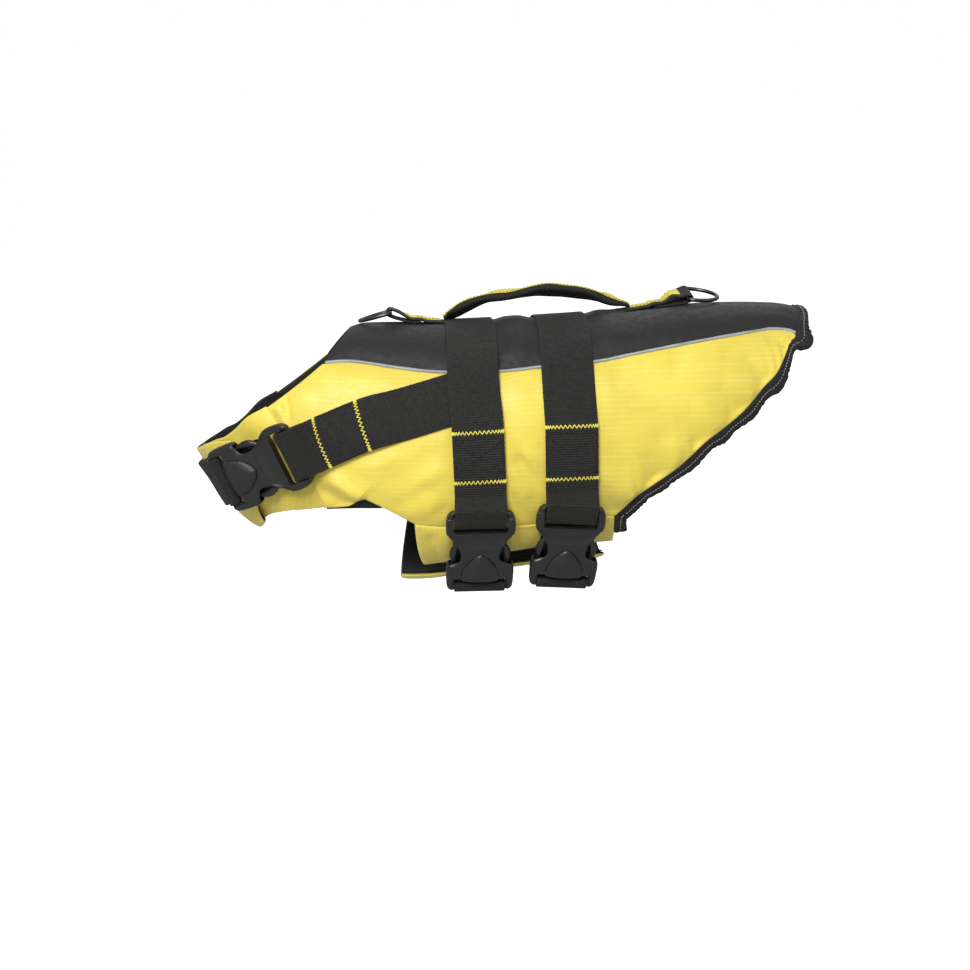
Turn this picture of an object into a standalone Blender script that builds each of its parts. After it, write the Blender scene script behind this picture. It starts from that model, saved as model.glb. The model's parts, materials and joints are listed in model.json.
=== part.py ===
"""Dog life jacket, built as its cut and sewn pieces in their worn, hollow form.

Every cloth piece lies on one body form: rings from the neck to the rump, each ring a plane
through a point on the back's midline and a point on the belly's midline.  A place on the form
is (station, turn, lift): the ring's number, the angle from the back round the wearer's left
side, and the distance outward from the outer face of the panels.

Frame: +X to the tail, -Y to the wearer's left, +Z up.  The origin lies on the inner face of
the back panel, on the midline under the handle.  Lengths here are millimetres.
"""
from math import asin, atan2, cos, pi, radians, sin
from typing import NamedTuple

import bmesh
import bpy
import numpy as np
from mathutils import Matrix, Vector

MM = 0.001
OBJECT_NAME = "dog_life_jacket"

# ---------------------------------------------------------------- driving sizes
FOAM = 8.5             # quilted panel, outer cloth, foam and lining together
PANEL_EDGE = 4.0       # the same where the foam thins out to the seam
EDGE_DROP = 1.2        # how far the outer face sinks at the seam
TAPER = 16.0           # width of that thinner margin
FLAP = 4.0             # belly flaps, thin foam inside
CHEST_FLAP = 3.0       # chest flaps, two layers of cloth and felt
FACING = 1.2           # black facing and hook tape
SEAM_GAP = 0.35        # clear air between neighbouring pieces
WEB = 1.6              # webbing thickness
WEB_WIDE = 38.0        # chest and belly webbing
WEB_NARROW = 25.0      # handle and ring webbing
WEB_LIFT = 1.5         # middle of the webbing that lies on a panel
WEB_LIFT_2 = 3.6       # middle of a second layer on the first
PIPING = 2.6           # reflective piping, diameter
PIPING_DROP = 1.2      # its centre below the outer face
BINDING = 7.6          # gathered elastic binding, width
BINDING_THICK = 5.0

BUCKLE_LENGTH = 72.0
BUCKLE_WIDTH = 50.0
BUCKLE_THICK = 12.5
BAR_LENGTH = 5.0       # end bar that the webbing wraps
TONGUE_THICK = 4.0     # plate, end bar and prongs
SLOT_LENGTH = 5.6
TONGUE_SLOT = 13.0       # length of the tongue's slot, from its bar to its plate
SLOT_WIDTH = 40.0

RING_WIRE = 3.0
RING_BAR = 28.5        # clear width of a leash ring
RING_DEPTH = 24.0      # from the bar's middle to the far side of the bow
GRIP_WIDTH = 20.0
GRIP_THICK = 6.0
TAPE = 0.9             # yellow tape on the handle
TAPE_WIDTH = 15.0


class Ring(NamedTuple):
    """One section of the body form, through the back and the belly midline."""
    top_x: float
    top_z: float
    bottom_x: float
    bottom_z: float
    half_width: float
    squareness: float


RINGS = (
    Ring(-142, 1.0, -256, -78, 46, 2.00),      # ahead of the neckline
    Ring(-126, 5.0, -237, -106, 57, 2.05),     # base of the neck
    Ring(-108, 6.0, -211, -143, 68, 2.10),     # chest
    Ring(-86, 6.0, -156, -174, 77, 2.15),      # over the shoulders
    Ring(-62, 5.8, -92, -185, 82, 2.25),       # behind the front legs
    Ring(0, FOAM, -10, -177, 85, 2.30),        # deepest girth
    Ring(60, 12.3, 58, -170, 84, 2.30),        # last ribs
    Ring(120, 18.5, 125, -158, 80, 2.25),      # waist
    Ring(170, 20.5, 180, -142, 74, 2.20),      # loin
    Ring(216, 19.0, 232, -130, 68, 2.15),      # rump
)
RING_TABLE = np.array(RINGS, float)
LAST_RING = len(RINGS) - 1


class Fold(NamedTuple):
    """A soft ridge (rise above 0) or trough in the outer cloth, in the side view."""
    from_x: float
    from_z: float
    to_x: float
    to_z: float
    reach: float
    rise: float


FOLDS = (
    Fold(-141, -104, -120, -118, 5.0, 2.2),    # pucker into the armhole
    Fold(-148, -112, -128, -124, 5.0, -1.6),   # trough beside it
    Fold(-176, -43, -175, -58, 4.0, -1.8),     # short dart at the neckline
    Fold(-183, -50, -178, -60, 5.0, 1.4),
)

# Edges of the left pieces in the side view: x, z.
PIPING_LINE = (
    (-150, -19.5), (-133, -18), (-118, -19), (-93, -22.5), (-64, -25), (-21, -24.5), (9, -21.5),
    (49, -18), (82, -12), (128, -4), (175, 3), (186, 4), (197, 3), (203, 0.5),
)
CHEST_SEAM = ((-192, -52), (-184, -63), (-160, -103), (-150, -126))
CHEST_HEM = ((-150, -126), (-133, -124), (-126, -120), (-120, -118))
ARMHOLE = ((-120, -118), (-102, -127), (-83, -138))
BELLY_SEAM = ((-83, -138), (-60, -140), (-12, -140), (6, -139), (55, -134.5), (66, -134))
REAR_EDGE = (
    (66, -134), (80, -119), (92, -110), (111, -96), (130, -78), (142, -69), (159, -55),
    (174, -38), (185, -27), (196, -8), (203, -1.5),
)
BACK_FRONT_X = -131.0
BACK_REAR_X = 213.0


# ---------------------------------------------------------------- the body form
def ring_at(station):
    """Ring values at any station, on a smooth curve through the table's rows."""
    station = np.clip(np.asarray(station, float), 0, LAST_RING - 1e-9)
    row = np.floor(station).astype(int)
    part = (station - row)[..., None]
    before = RING_TABLE[np.maximum(row - 1, 0)]
    here = RING_TABLE[row]
    after = RING_TABLE[row + 1]
    beyond = RING_TABLE[np.minimum(row + 2, LAST_RING)]
    return 0.5 * (2 * here + (after - before) * part
                  + (2 * before - 5 * here + 4 * after - beyond) * part ** 2
                  + (3 * here - before - 3 * after + beyond) * part ** 3)


def form_base(station, turn):
    """Points of the form: a rounded square section swept from ring to ring."""
    top_x, top_z, bottom_x, bottom_z, half, square = np.moveaxis(ring_at(station), -1, 0)
    up, out = np.cos(turn), np.sin(turn)
    reach = (np.abs(up) ** square + np.abs(out) ** square) ** (-1 / square)
    share = 0.5 * (1 + reach * up)
    return np.stack([bottom_x + (top_x - bottom_x) * share, -half * reach * out,
                     bottom_z + (top_z - bottom_z) * share], -1)


def form_normal(station, turn, step=1e-3):
    """Outward unit normals of the form, from differences along both directions."""
    station, turn = np.broadcast_arrays(np.asarray(station, float), np.asarray(turn, float))
    station = np.clip(station, step, LAST_RING - 2 * step)
    along = form_base(station + step, turn) - form_base(station - step, turn)
    around = form_base(station, turn + step) - form_base(station, turn - step)
    normal = np.cross(around, along)
    return normal / np.linalg.norm(normal, axis=-1, keepdims=True)


def fold_lift(points):
    """Rise of the cloth at points of the form's left side, summed over the folds."""
    lift = np.zeros(points.shape[:-1])
    for fold in FOLDS:
        start = np.array([fold.from_x, fold.from_z])
        run = np.array([fold.to_x, fold.to_z]) - start
        side = points[..., [0, 2]] - start
        share = np.clip((side @ run) / (run @ run), 0, 1)
        gap = np.linalg.norm(side - share[..., None] * run, axis=-1)
        lift += fold.rise * np.exp(-(gap / fold.reach) ** 2)
    return lift


def form_point(station, turn, lift=0.0):
    """Points at a distance outward from the form."""
    station, turn, lift = np.broadcast_arrays(*(np.asarray(v, float) for v in (station, turn, lift)))
    return form_base(station, turn) + form_normal(station, turn) * lift[..., None]


def place(x, z):
    """Station and turn of the point of the form's left side that shows at x, z from the side."""
    stations = np.linspace(0, LAST_RING - 1e-6, 3000)
    rings = ring_at(stations)
    chord = rings[:, 2:4] - rings[:, 0:2]
    offset = np.array([x, z]) - rings[:, 0:2]
    cross = offset[:, 0] * chord[:, 1] - offset[:, 1] * chord[:, 0]
    at = int(np.nonzero(np.sign(cross[:-1]) != np.sign(cross[1:]))[0][0])
    part = cross[at] / (cross[at] - cross[at + 1])
    station = stations[at] + part * (stations[at + 1] - stations[at])
    ring = ring_at(station)
    depth = np.linalg.norm(np.array([x, z]) - ring[0:2]) / np.linalg.norm(ring[2:4] - ring[0:2])
    up = min(1.0, max(-1.0, 1 - 2 * depth))
    out = (1 - abs(up) ** ring[5]) ** (1 / ring[5])
    return station, atan2(out, up)


# ---------------------------------------------------------------- edges and grids
def smooth(points, count):
    """Evenly spaced points on a smooth curve through the given ones."""
    points = np.array(points, float)
    ends = np.vstack([2 * points[0] - points[1], points, 2 * points[-1] - points[-2]])
    fine = []
    for part in np.linspace(0, 1, 24, endpoint=False):
        fine.append(0.5 * (2 * ends[1:-2] + (ends[2:-1] - ends[:-3]) * part
                           + (2 * ends[:-3] - 5 * ends[1:-2] + 4 * ends[2:-1] - ends[3:]) * part ** 2
                           + (3 * ends[1:-2] - ends[:-3] - 3 * ends[2:-1] + ends[3:]) * part ** 3))
    fine = np.vstack([np.stack(fine, 1).reshape(-1, points.shape[1]), points[-1]])
    run = np.concatenate([[0], np.cumsum(np.linalg.norm(np.diff(fine, axis=0), axis=1))])
    at = np.linspace(0, run[-1], count)
    return np.stack([np.interp(at, run, column) for column in fine.T], -1)


def side_edge(points, count):
    """Stations and turns along an edge that is given in the side view."""
    return np.array([place(x, z) for x, z in smooth(points, count)])


def chain(*edges):
    """Edges joined end to end, each shared corner once."""
    return np.vstack([edges[0]] + [edge[1:] for edge in edges[1:]])


def margins(count, first=0.035):
    """Shares from 0 to 1 with a close line beside each end, for the thinner margin."""
    inner = np.linspace(0, 1, count - 2)
    near = first + (1 - 2 * first) * inner
    return np.concatenate([[0], near, [1]])


def between(edge_a, edge_b, shares):
    """Grid of stations and turns between two edges of equal length."""
    shares = np.asarray(shares)[None, :, None]
    return edge_a[:, None, :] * (1 - shares) + edge_b[:, None, :] * shares


def inset(grid, gap):
    """The grid drawn in by a gap in millimetres from all four of its edges."""
    grid = grid.copy()
    for axis in (0, 1):
        grid = np.moveaxis(grid, axis, 0)
        for edge, inner in ((0, 1), (-1, -2)):
            step = form_base(grid[edge, :, 0], grid[edge, :, 1]) \
                - form_base(grid[inner, :, 0], grid[inner, :, 1])
            share = gap / np.maximum(np.linalg.norm(step, axis=-1), 1e-6)
            share = np.clip(share, 0, 0.45)[:, None]
            grid[edge] = grid[edge] * (1 - share) + grid[inner] * share
        grid = np.moveaxis(grid, 0, axis)
    return grid


def edge_distance(grid):
    """Distance of each grid point from the nearest edge of its piece."""
    points = form_base(grid[..., 0], grid[..., 1])
    nearest = np.full(points.shape[:2], 1e9)
    for axis in (0, 1):
        steps = np.linalg.norm(np.diff(points, axis=axis), axis=-1)
        run = np.cumsum(steps, axis=axis)
        run = np.insert(run, 0, 0, axis=axis)
        total = np.take(run, [-1], axis=axis)
        nearest = np.minimum(nearest, np.minimum(run, total - run))
    return nearest


# ---------------------------------------------------------------- making objects
def material(name, colour, roughness, metallic=0.0):
    """A plain Principled material."""
    found = bpy.data.materials.get(name)
    if found:
        return found
    made = bpy.data.materials.new(name)
    made.use_nodes = True
    shader = made.node_tree.nodes["Principled BSDF"]
    shader.inputs["Base Color"].default_value = (*colour, 1.0)
    shader.inputs["Roughness"].default_value = roughness
    shader.inputs["Metallic"].default_value = metallic
    return made


def yellow_cloth():
    """Yellow ripstop."""
    return material("yellow_ripstop", (0.82, 0.66, 0.12), 0.6)


def black_cloth():
    """Black woven cloth, also its facing."""
    return material("black_cloth", (0.035, 0.035, 0.038), 0.75)


def webbing():
    """Black polyester webbing."""
    return material("black_webbing", (0.03, 0.029, 0.026), 0.8)


def plastic():
    """Black moulded buckle plastic."""
    return material("buckle_plastic", (0.04, 0.042, 0.042), 0.42)


def collection(name):
    """The named collection under the scene's own."""
    made = bpy.data.collections.new(name)
    bpy.context.scene.collection.children.link(made)
    return made


def new_object(name, vertices, faces, surface, parts):
    """An object from millimetre points and faces, faces turned outward by the maker."""
    mesh = bpy.data.meshes.new(name)
    mesh.from_pydata([tuple(point) for point in np.asarray(vertices) * MM], [], faces)
    mesh.materials.append(surface)
    made = bpy.data.objects.new(name, mesh)
    parts.objects.link(made)
    mesh.shade_smooth()
    mesh.set_sharp_from_angle(angle=radians(40))
    return made


def grid_faces(rows, columns, first=0, flip=False):
    """Quads of a grid of points that is stored row by row."""
    faces = []
    for row in range(rows - 1):
        for column in range(columns - 1):
            a = first + row * columns + column
            quad = (a, a + 1, a + columns + 1, a + columns)
            faces.append(quad[::-1] if flip else quad)
    return faces


def wall(name, outer, inner, surface, parts):
    """A closed solid between two grids of points, with a rim all round."""
    rows, columns = outer.shape[:2]
    count = rows * columns
    faces = grid_faces(rows, columns) + grid_faces(rows, columns, count, flip=True)
    border = [row * columns for row in range(rows)]
    border += [(rows - 1) * columns + column for column in range(1, columns)]
    border += [row * columns + columns - 1 for row in range(rows - 2, -1, -1)]
    border += list(range(columns - 2, 0, -1))
    for here, after in zip(border, border[1:] + border[:1]):
        faces.append((here, after, after + count, here + count))
    made = new_object(name, np.vstack([outer.reshape(-1, 3), inner.reshape(-1, 3)]), faces,
                      surface, parts)
    face_out(made)
    return made


def face_out(made):
    """Turn all faces of a closed mesh outward."""
    mesh = bmesh.new()
    mesh.from_mesh(made.data)
    bmesh.ops.recalc_face_normals(mesh, faces=mesh.faces)
    if mesh.calc_volume(signed=True) < 0:
        bmesh.ops.reverse_faces(mesh, faces=mesh.faces)
    mesh.to_mesh(made.data)
    mesh.free()


def mirrored(points):
    """The same points on the wearer's other side."""
    return points * np.array([1.0, -1.0, 1.0])


def padded_wall(name, grid, surface, parts, other_side=False, folds=True):
    """A quilted panel: full thickness inside, thinner at its edges."""
    fill = np.clip(edge_distance(grid) / TAPER, 0, 1)
    fill = fill * fill * (3 - 2 * fill)
    top = -EDGE_DROP * (1 - fill)
    under = -(EDGE_DROP + PANEL_EDGE) * (1 - fill) - FOAM * fill
    if folds:
        top = top + fold_lift(form_base(grid[..., 0], grid[..., 1]))
    outer = form_point(grid[..., 0], grid[..., 1], top)
    inner = form_point(grid[..., 0], grid[..., 1], under)
    if other_side:
        outer, inner = mirrored(outer), mirrored(inner)
    return wall(name, outer, inner, surface, parts)


def sheet(name, points, thickness, surface, parts):
    """Cloth or webbing as an open grid of points with a Solidify wall about it."""
    rows, columns = points.shape[:2]
    made = new_object(name, points.reshape(-1, 3), grid_faces(rows, columns), surface, parts)
    solid = made.modifiers.new("thickness", "SOLIDIFY")
    solid.thickness = thickness * MM
    solid.offset = 0.0
    solid.use_even_offset = True
    return made


# ---------------------------------------------------------------- cloth pieces
def piping_edge(count):
    """The seam line between the back panel and a side panel."""
    return side_edge(PIPING_LINE, count)


def shifted(edge, amount):
    """An edge moved by millimetres round the form, away from the back where above 0."""
    step = 1e-3
    reach = np.linalg.norm(form_base(edge[:, 0], edge[:, 1] + step)
                           - form_base(edge[:, 0], edge[:, 1]), axis=1) / step
    moved = edge.copy()
    moved[:, 1] += amount / reach
    return moved


def top_station(x):
    """Station of the point of the back's midline at x."""
    stations = np.linspace(0, LAST_RING, 2000)
    return float(np.interp(x, ring_at(stations)[:, 0], stations))


def belly_station(x):
    """Station of the point of the belly's midline at x."""
    stations = np.linspace(0, LAST_RING, 2000)
    return float(np.interp(x, ring_at(stations)[:, 2], stations))


def make_back_panel(parts):
    """The black quilted panel over the back, from piping to piping."""
    side = shifted(piping_edge(23), -PIPING / 2 - 3 * SEAM_GAP)
    top = np.array([top_station(x) for x in np.linspace(BACK_FRONT_X, BACK_REAR_X, len(side))])
    share = 1 - 2 * margins(13, 0.035)
    station = top[:, None] + (side[:, 0] - top)[:, None] * share ** 2
    turn = side[:, 1][:, None] * share
    return padded_wall("back_panel", np.stack([station, turn], -1), black_cloth(), parts,
                       folds=False)


def side_panel_grid():
    """Grid of the left side panel, from the piping to the hem, armhole and rear edge."""
    hem = chain(side_edge(CHEST_SEAM, 7), side_edge(CHEST_HEM, 4), side_edge(ARMHOLE, 3),
                side_edge(BELLY_SEAM, 7), side_edge(REAR_EDGE, 15))
    top = shifted(piping_edge(len(hem)), PIPING / 2 + 2 * SEAM_GAP)
    top[-1] = top[-2] * 0.35 + top[-1] * 0.65
    return inset(between(top, hem, margins(11)), SEAM_GAP / 2)


def make_side_panels(parts):
    """The yellow quilted side panels."""
    grid = side_panel_grid()
    for name, other in (("side_panel_left", False), ("side_panel_right", True)):
        padded_wall(name, grid, yellow_cloth(), parts, other_side=other)


CHEST_LOW = ((2.79, 120), (2.55, 127), (2.32, 136), (2.18, 150), (2.19, 180))
CHEST_TOP = ((0.76, 96), (0.64, 107), (0.64, 121), (0.63, 130), (0.55, 143), (0.50, 180))
OVERLAP_END = ((0.80, 126), (1.39, 130), (1.81, 135), (2.21, 152))
CHEST_TUCK = -4.3        # lift of the left flap where the right one lies on it
CHEST_OVERLAP = 1.3      # lift of the right flap there


def turned(rows):
    """Rows of station and degrees as stations and radians."""
    return np.array([(station, radians(turn)) for station, turn in rows])


def smooth_step(value):
    """A soft ramp from 0 to 1."""
    value = np.clip(value, 0, 1)
    return value * value * (3 - 2 * value)


def thin_wall(name, grid, lift, thick, parts):
    """A flap of even thickness, slightly thinner at its stitched edges."""
    fill = np.clip(edge_distance(grid) / (TAPER / 2), 0, 1)
    outer = form_point(grid[..., 0], grid[..., 1], lift - 0.7 * (1 - fill))
    inner = form_point(grid[..., 0], grid[..., 1], lift - thick)
    return wall(name, outer, inner, yellow_cloth(), parts)


def tuck_lift(turn):
    """Lift of a chest flap that sinks under its buckle and toward the front."""
    return CHEST_TUCK * smooth_step((turn - radians(103)) / radians(20))


def chest_overlap_lift(turn):
    """Lift of the right chest flap: sunk under its buckle, it rises to cross the left flap."""
    rise = smooth_step((radians(213) - turn) / radians(22))
    return tuck_lift(2 * pi - turn) * (1 - rise) + CHEST_OVERLAP * rise


def make_chest_flaps(parts):
    """The two chest flaps: the right one crosses the front and lies on the left one."""
    seam = side_edge(CHEST_SEAM, 7)
    end = smooth(turned(((0.50, 184), (2.19, 182))), 7)
    grid = inset(coons(smooth(turned(CHEST_TOP), 10), smooth(turned(CHEST_LOW), 10), seam, end),
                 SEAM_GAP / 2)
    thin_wall("chest_flap_left", grid, tuck_lift(grid[..., 1]), CHEST_FLAP, parts)
    across, whole = np.array([1, -1]), np.array([0, 2 * pi])
    top = np.vstack([(turned(CHEST_TOP) * across + whole)[:-1],
                     turned(((0.50, 180), (0.55, 143), (0.80, 126)))])
    low = np.vstack([(turned(CHEST_LOW) * across + whole)[:-1], turned(((2.19, 180), (2.21, 152)))])
    grid = inset(coons(smooth(top, 15), smooth(low, 15), seam * across + whole,
                       smooth(turned(OVERLAP_END), 7)), SEAM_GAP / 2)
    thin_wall("chest_flap_right", grid, chest_overlap_lift(grid[..., 1]), CHEST_FLAP, parts)


def coons(top, low, start, end):
    """Grid between four edges: the two blends less the corners' plane."""
    columns, rows = len(top), len(start)
    across = np.linspace(0, 1, columns)[:, None, None]
    down = np.linspace(0, 1, rows)[None, :, None]
    ruled_down = top[:, None] * (1 - down) + low[:, None] * down
    ruled_across = start[None] * (1 - across) + end[None] * across
    corners = (top[0] * (1 - across) * (1 - down) + top[-1] * across * (1 - down)
               + low[0] * (1 - across) * down + low[-1] * across * down)
    return ruled_down + ruled_across - corners


BELLY_HEM_LEFT = ((4.19, 151), (4.60, 148.5), (5.00, 145.5), (5.40, 143.5), (5.80, 145), (6.14, 148))
BELLY_END_RIGHT = ((3.98, 155), (4.38, 157), (5.00, 156), (5.40, 155), (5.80, 156), (6.05, 158))
BELLY_DROP = 7.0         # outer face of the right flap below the form, at its end


def make_belly_flaps(parts):
    """The short left belly flap and the right one that comes under the belly to meet it."""
    seam = side_edge(BELLY_SEAM[:-1] + ((64.5, -134),), 9)
    grid = inset(between(seam, smooth(turned(BELLY_HEM_LEFT), 9), margins(6, 0.1)), SEAM_GAP / 2)
    thin_wall("belly_flap_left", grid, np.zeros(grid.shape[:2]), FLAP, parts)
    seam = seam * np.array([1, -1]) + np.array([0, 2 * pi])
    grid = inset(between(seam, smooth(turned(BELLY_END_RIGHT), 9), margins(13, 0.035)),
                 SEAM_GAP / 2)
    thin_wall("belly_flap_right", grid, belly_lift(grid[..., 1]), FLAP, parts)


def belly_lift(turn):
    """Lift of the right belly flap: it leaves the form under the belly."""
    return BELLY_DROP * smooth_step((radians(215) - turn) / radians(50))


def make_facings(parts):
    """Black facing along the chest hem and armhole, and the two strips of hook tape."""
    low = side_edge(((-150, -130), (-140, -129), (-126, -128), (-108, -127.5)), 7)
    high = side_edge(((-150, -123.5), (-140, -121.5), (-126, -119.5), (-108, -124)), 7)
    grid = between(high, low, np.linspace(0, 1, 3))
    points = form_point(grid[..., 0], grid[..., 1], -EDGE_DROP - PANEL_EDGE - 2.6)
    sheet("armhole_facing_left", points, FACING, black_cloth(), parts)
    sheet("armhole_facing_right", mirrored(points), FACING, black_cloth(), parts)

    end = smooth(turned(OVERLAP_END), 7)
    tape = between(end + np.array([0, radians(9)]), end - np.array([0, radians(3)]),
                   np.linspace(0, 1, 4))[:-1]
    under = CHEST_OVERLAP - CHEST_FLAP - 2.3 * SEAM_GAP - FACING / 2
    points = form_point(tape[..., 0], tape[..., 1], under)
    sheet("chest_hook_tape", points, FACING, black_cloth(), parts)

    end = smooth(turned(BELLY_END_RIGHT), 9)
    tape = between(end + np.array([0, radians(14)]), end + np.array([0, radians(1.5)]),
                   np.linspace(0, 1, 4))
    under = belly_lift(tape[..., 1]) - FLAP - SEAM_GAP - FACING / 2
    points = form_point(tape[..., 0], tape[..., 1], under)
    sheet("belly_hook_tape", points, FACING, black_cloth(), parts)


# ---------------------------------------------------------------- edge trim
def round_cord(name, points, diameter, surface, parts):
    """A cord through points, as a round curve made a mesh with welded caps."""
    curve = bpy.data.curves.new(name, "CURVE")
    curve.dimensions = "3D"
    curve.bevel_depth = diameter / 2 * MM
    curve.bevel_resolution = 1
    curve.use_fill_caps = True
    spline = curve.splines.new("POLY")
    spline.points.add(len(points) - 1)
    for point, place_at in zip(spline.points, points):
        point.co = (*(place_at * MM), 1.0)
    carrier = bpy.data.objects.new(name + "_curve", curve)
    parts.objects.link(carrier)
    depsgraph = bpy.context.evaluated_depsgraph_get()
    mesh = bpy.data.meshes.new_from_object(carrier.evaluated_get(depsgraph))
    bpy.data.objects.remove(carrier)
    work = bmesh.new()
    work.from_mesh(mesh)
    bmesh.ops.remove_doubles(work, verts=work.verts, dist=0.00001)
    bmesh.ops.recalc_face_normals(work, faces=work.faces)
    work.to_mesh(mesh)
    work.free()
    mesh.name = name
    mesh.materials.clear()
    mesh.materials.append(surface)
    made = bpy.data.objects.new(name, mesh)
    parts.objects.link(made)
    return made


def make_piping(parts):
    """Grey reflective piping in the seams beside the back panel."""
    grey = material("reflective_piping", (0.33, 0.34, 0.35), 0.35)
    edge = piping_edge(34)[:-1]
    edge[0] = 0.8 * edge[0] + 0.2 * edge[1]
    points = form_point(edge[:, 0], edge[:, 1], -PIPING_DROP)
    round_cord("piping_left", points, PIPING, grey, parts)
    round_cord("piping_right", mirrored(points), PIPING, grey, parts)


def rear_path(count):
    """The rear edge of the left half, from the belly up to the back's midline."""
    low = np.array([[6.13, radians(139)]])
    side = side_edge(REAR_EDGE, 30)
    corner = side[-1]
    share = np.linspace(1, 0, 10)[1:, None]
    station = top_station(BACK_REAR_X) + (corner[0] - top_station(BACK_REAR_X)) * share ** 2
    return smooth(np.vstack([low, side, np.hstack([station, corner[1] * share])]), count)


def make_binding(parts):
    """The gathered elastic binding round the rear edge, a flat band with wavy width."""
    path = rear_path(46)
    centre = form_point(path[:, 0], path[:, 1], -EDGE_DROP - PANEL_EDGE / 2)
    normal = form_normal(path[:, 0], path[:, 1])
    tangent = np.gradient(centre, axis=0)
    tangent /= np.linalg.norm(tangent, axis=1, keepdims=True)
    out = np.cross(tangent, normal)
    out *= np.sign(out[len(out) // 2, 0])
    run = np.concatenate([[0], np.cumsum(np.linalg.norm(np.diff(centre, axis=0), axis=1))])
    gather = 0.8 * np.sin(run * 2 * pi / 23.0) + 0.5 * np.sin(run * 2 * pi / 15.0 + 1.0)
    width = (BINDING + gather)[:, None]
    section = ((0.0, 0.42), (0.0, -0.42), (0.75, -0.5), (1.0, -0.2), (1.0, 0.2), (0.75, 0.5))
    rings = np.stack([centre + out * (2.8 * SEAM_GAP + across * width)
                      + normal * (high * BINDING_THICK) for across, high in section], 1)
    rings[-1, :, 1] = -SEAM_GAP / 2
    for name, points in (("rear_binding_left", rings), ("rear_binding_right", mirrored(rings))):
        tube(name, points, black_cloth(), parts)


def tube(name, rings, surface, parts):
    """A closed solid through rings of points, with flat ends."""
    count, around = rings.shape[:2]
    faces = []
    for ring in range(count - 1):
        for point in range(around):
            after = (point + 1) % around
            faces.append((ring * around + point, ring * around + after,
                          (ring + 1) * around + after, (ring + 1) * around + point))
    faces.append(tuple(range(around)))
    faces.append(tuple(range((count - 1) * around, count * around)))
    made = new_object(name, rings.reshape(-1, 3), faces, surface, parts)
    face_out(made)
    return made


# ---------------------------------------------------------------- buckles
class BucklePlace(NamedTuple):
    """Where a buckle lies: its webbing end, its far end and the way its face looks."""
    name: str
    start: tuple
    end: tuple
    outward: tuple


BELLY_FRONT = BucklePlace("belly_buckle_front", (-35.5, -87.0, -124), (-35.0, -57, -188),
                          (0.0, -0.9, -0.45))
BELLY_REAR = BucklePlace("belly_buckle_rear", (31.5, -87.0, -121), (26.5, -59, -186),
                         (0.0, -0.9, -0.45))
CHEST_LEFT = BucklePlace("chest_buckle_left", (-164.4, -77.2, -81.2), (-225.8, -48.0, -108.4),
                         (-0.45, -0.85, -0.25))


def buckle_frame(spot, side=1):
    """Matrix from buckle axes (across, along, outward) to the jacket, in millimetres."""
    flip = Vector((1, side, 1))
    start = Vector(spot.start) * flip
    end = Vector(spot.end) * flip
    along = (end - start).normalized()
    outward = Vector(spot.outward) * flip
    outward = (outward - along * outward.dot(along)).normalized()
    across = along.cross(outward)
    frame = Matrix((across, along, outward)).transposed().to_4x4()
    frame.translation = start
    return frame


def rounded_outline(corners, steps=3):
    """Points round a closed outline of rows x, y and corner radius."""
    points = []
    count = len(corners)
    for index, (x, y, radius) in enumerate(corners):
        here = np.array([x, y])
        before = np.array(corners[index - 1][:2]) - here
        after = np.array(corners[(index + 1) % count][:2]) - here
        if radius <= 0:
            points.append(here)
            continue
        before, after = before / np.linalg.norm(before), after / np.linalg.norm(after)
        half = np.arccos(np.clip(before @ after, -1, 1)) / 2
        reach = radius / np.tan(half)
        first, last = here + before * reach, here + after * reach
        for share in np.linspace(0, 1, steps + 1):
            points.append(first * (1 - share) ** 2 + here * 2 * share * (1 - share)
                          + last * share ** 2)
    return np.array(points)


def plate(name, outline, holes, thickness, surface, parts, bevel=0.0):
    """A flat piece cut to an outline with holes, as a filled curve with an extrude."""
    curve = bpy.data.curves.new(name, "CURVE")
    curve.dimensions = "2D"
    curve.fill_mode = "BOTH"
    curve.extrude = thickness / 2 * MM
    for loop in [outline] + list(holes):
        spline = curve.splines.new("POLY")
        spline.points.add(len(loop) - 1)
        for point, (x, y) in zip(spline.points, loop):
            point.co = (x * MM, y * MM, 0, 1)
        spline.use_cyclic_u = True
    carrier = bpy.data.objects.new(name + "_curve", curve)
    parts.objects.link(carrier)
    mesh = bpy.data.meshes.new_from_object(
        carrier.evaluated_get(bpy.context.evaluated_depsgraph_get()))
    bpy.data.objects.remove(carrier)
    work = bmesh.new()
    work.from_mesh(mesh)
    bmesh.ops.remove_doubles(work, verts=work.verts, dist=0.00001)
    bmesh.ops.recalc_face_normals(work, faces=work.faces)
    work.to_mesh(mesh)
    work.free()
    mesh.name = name
    mesh.materials.clear()
    mesh.materials.append(surface)
    made = bpy.data.objects.new(name, mesh)
    parts.objects.link(made)
    if bevel > 0:
        edge = made.modifiers.new("edges", "BEVEL")
        edge.width = bevel * MM
        edge.segments = 1
        edge.limit_method = "ANGLE"
        edge.angle_limit = radians(50)
    return made


MALE_PLATE_END = 31.0
PRONG_END = 47.0
FEMALE_START = 26.0
CAVITY_START = 22.0
RECESS_LENGTH = 12.5              # of the body's end, where the webbing lies in it


def half_outline(rows):
    """A closed outline from the rows of its right half, listed from one end to the other."""
    return list(rows) + [(-x, y, radius) for x, y, radius in reversed(rows)]


def slot(start_y, end_y):
    """Outline of a webbing slot."""
    half = SLOT_WIDTH / 2
    return rounded_outline(half_outline(((half, start_y, 1.2), (half, end_y, 1.2))), 1)


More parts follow.
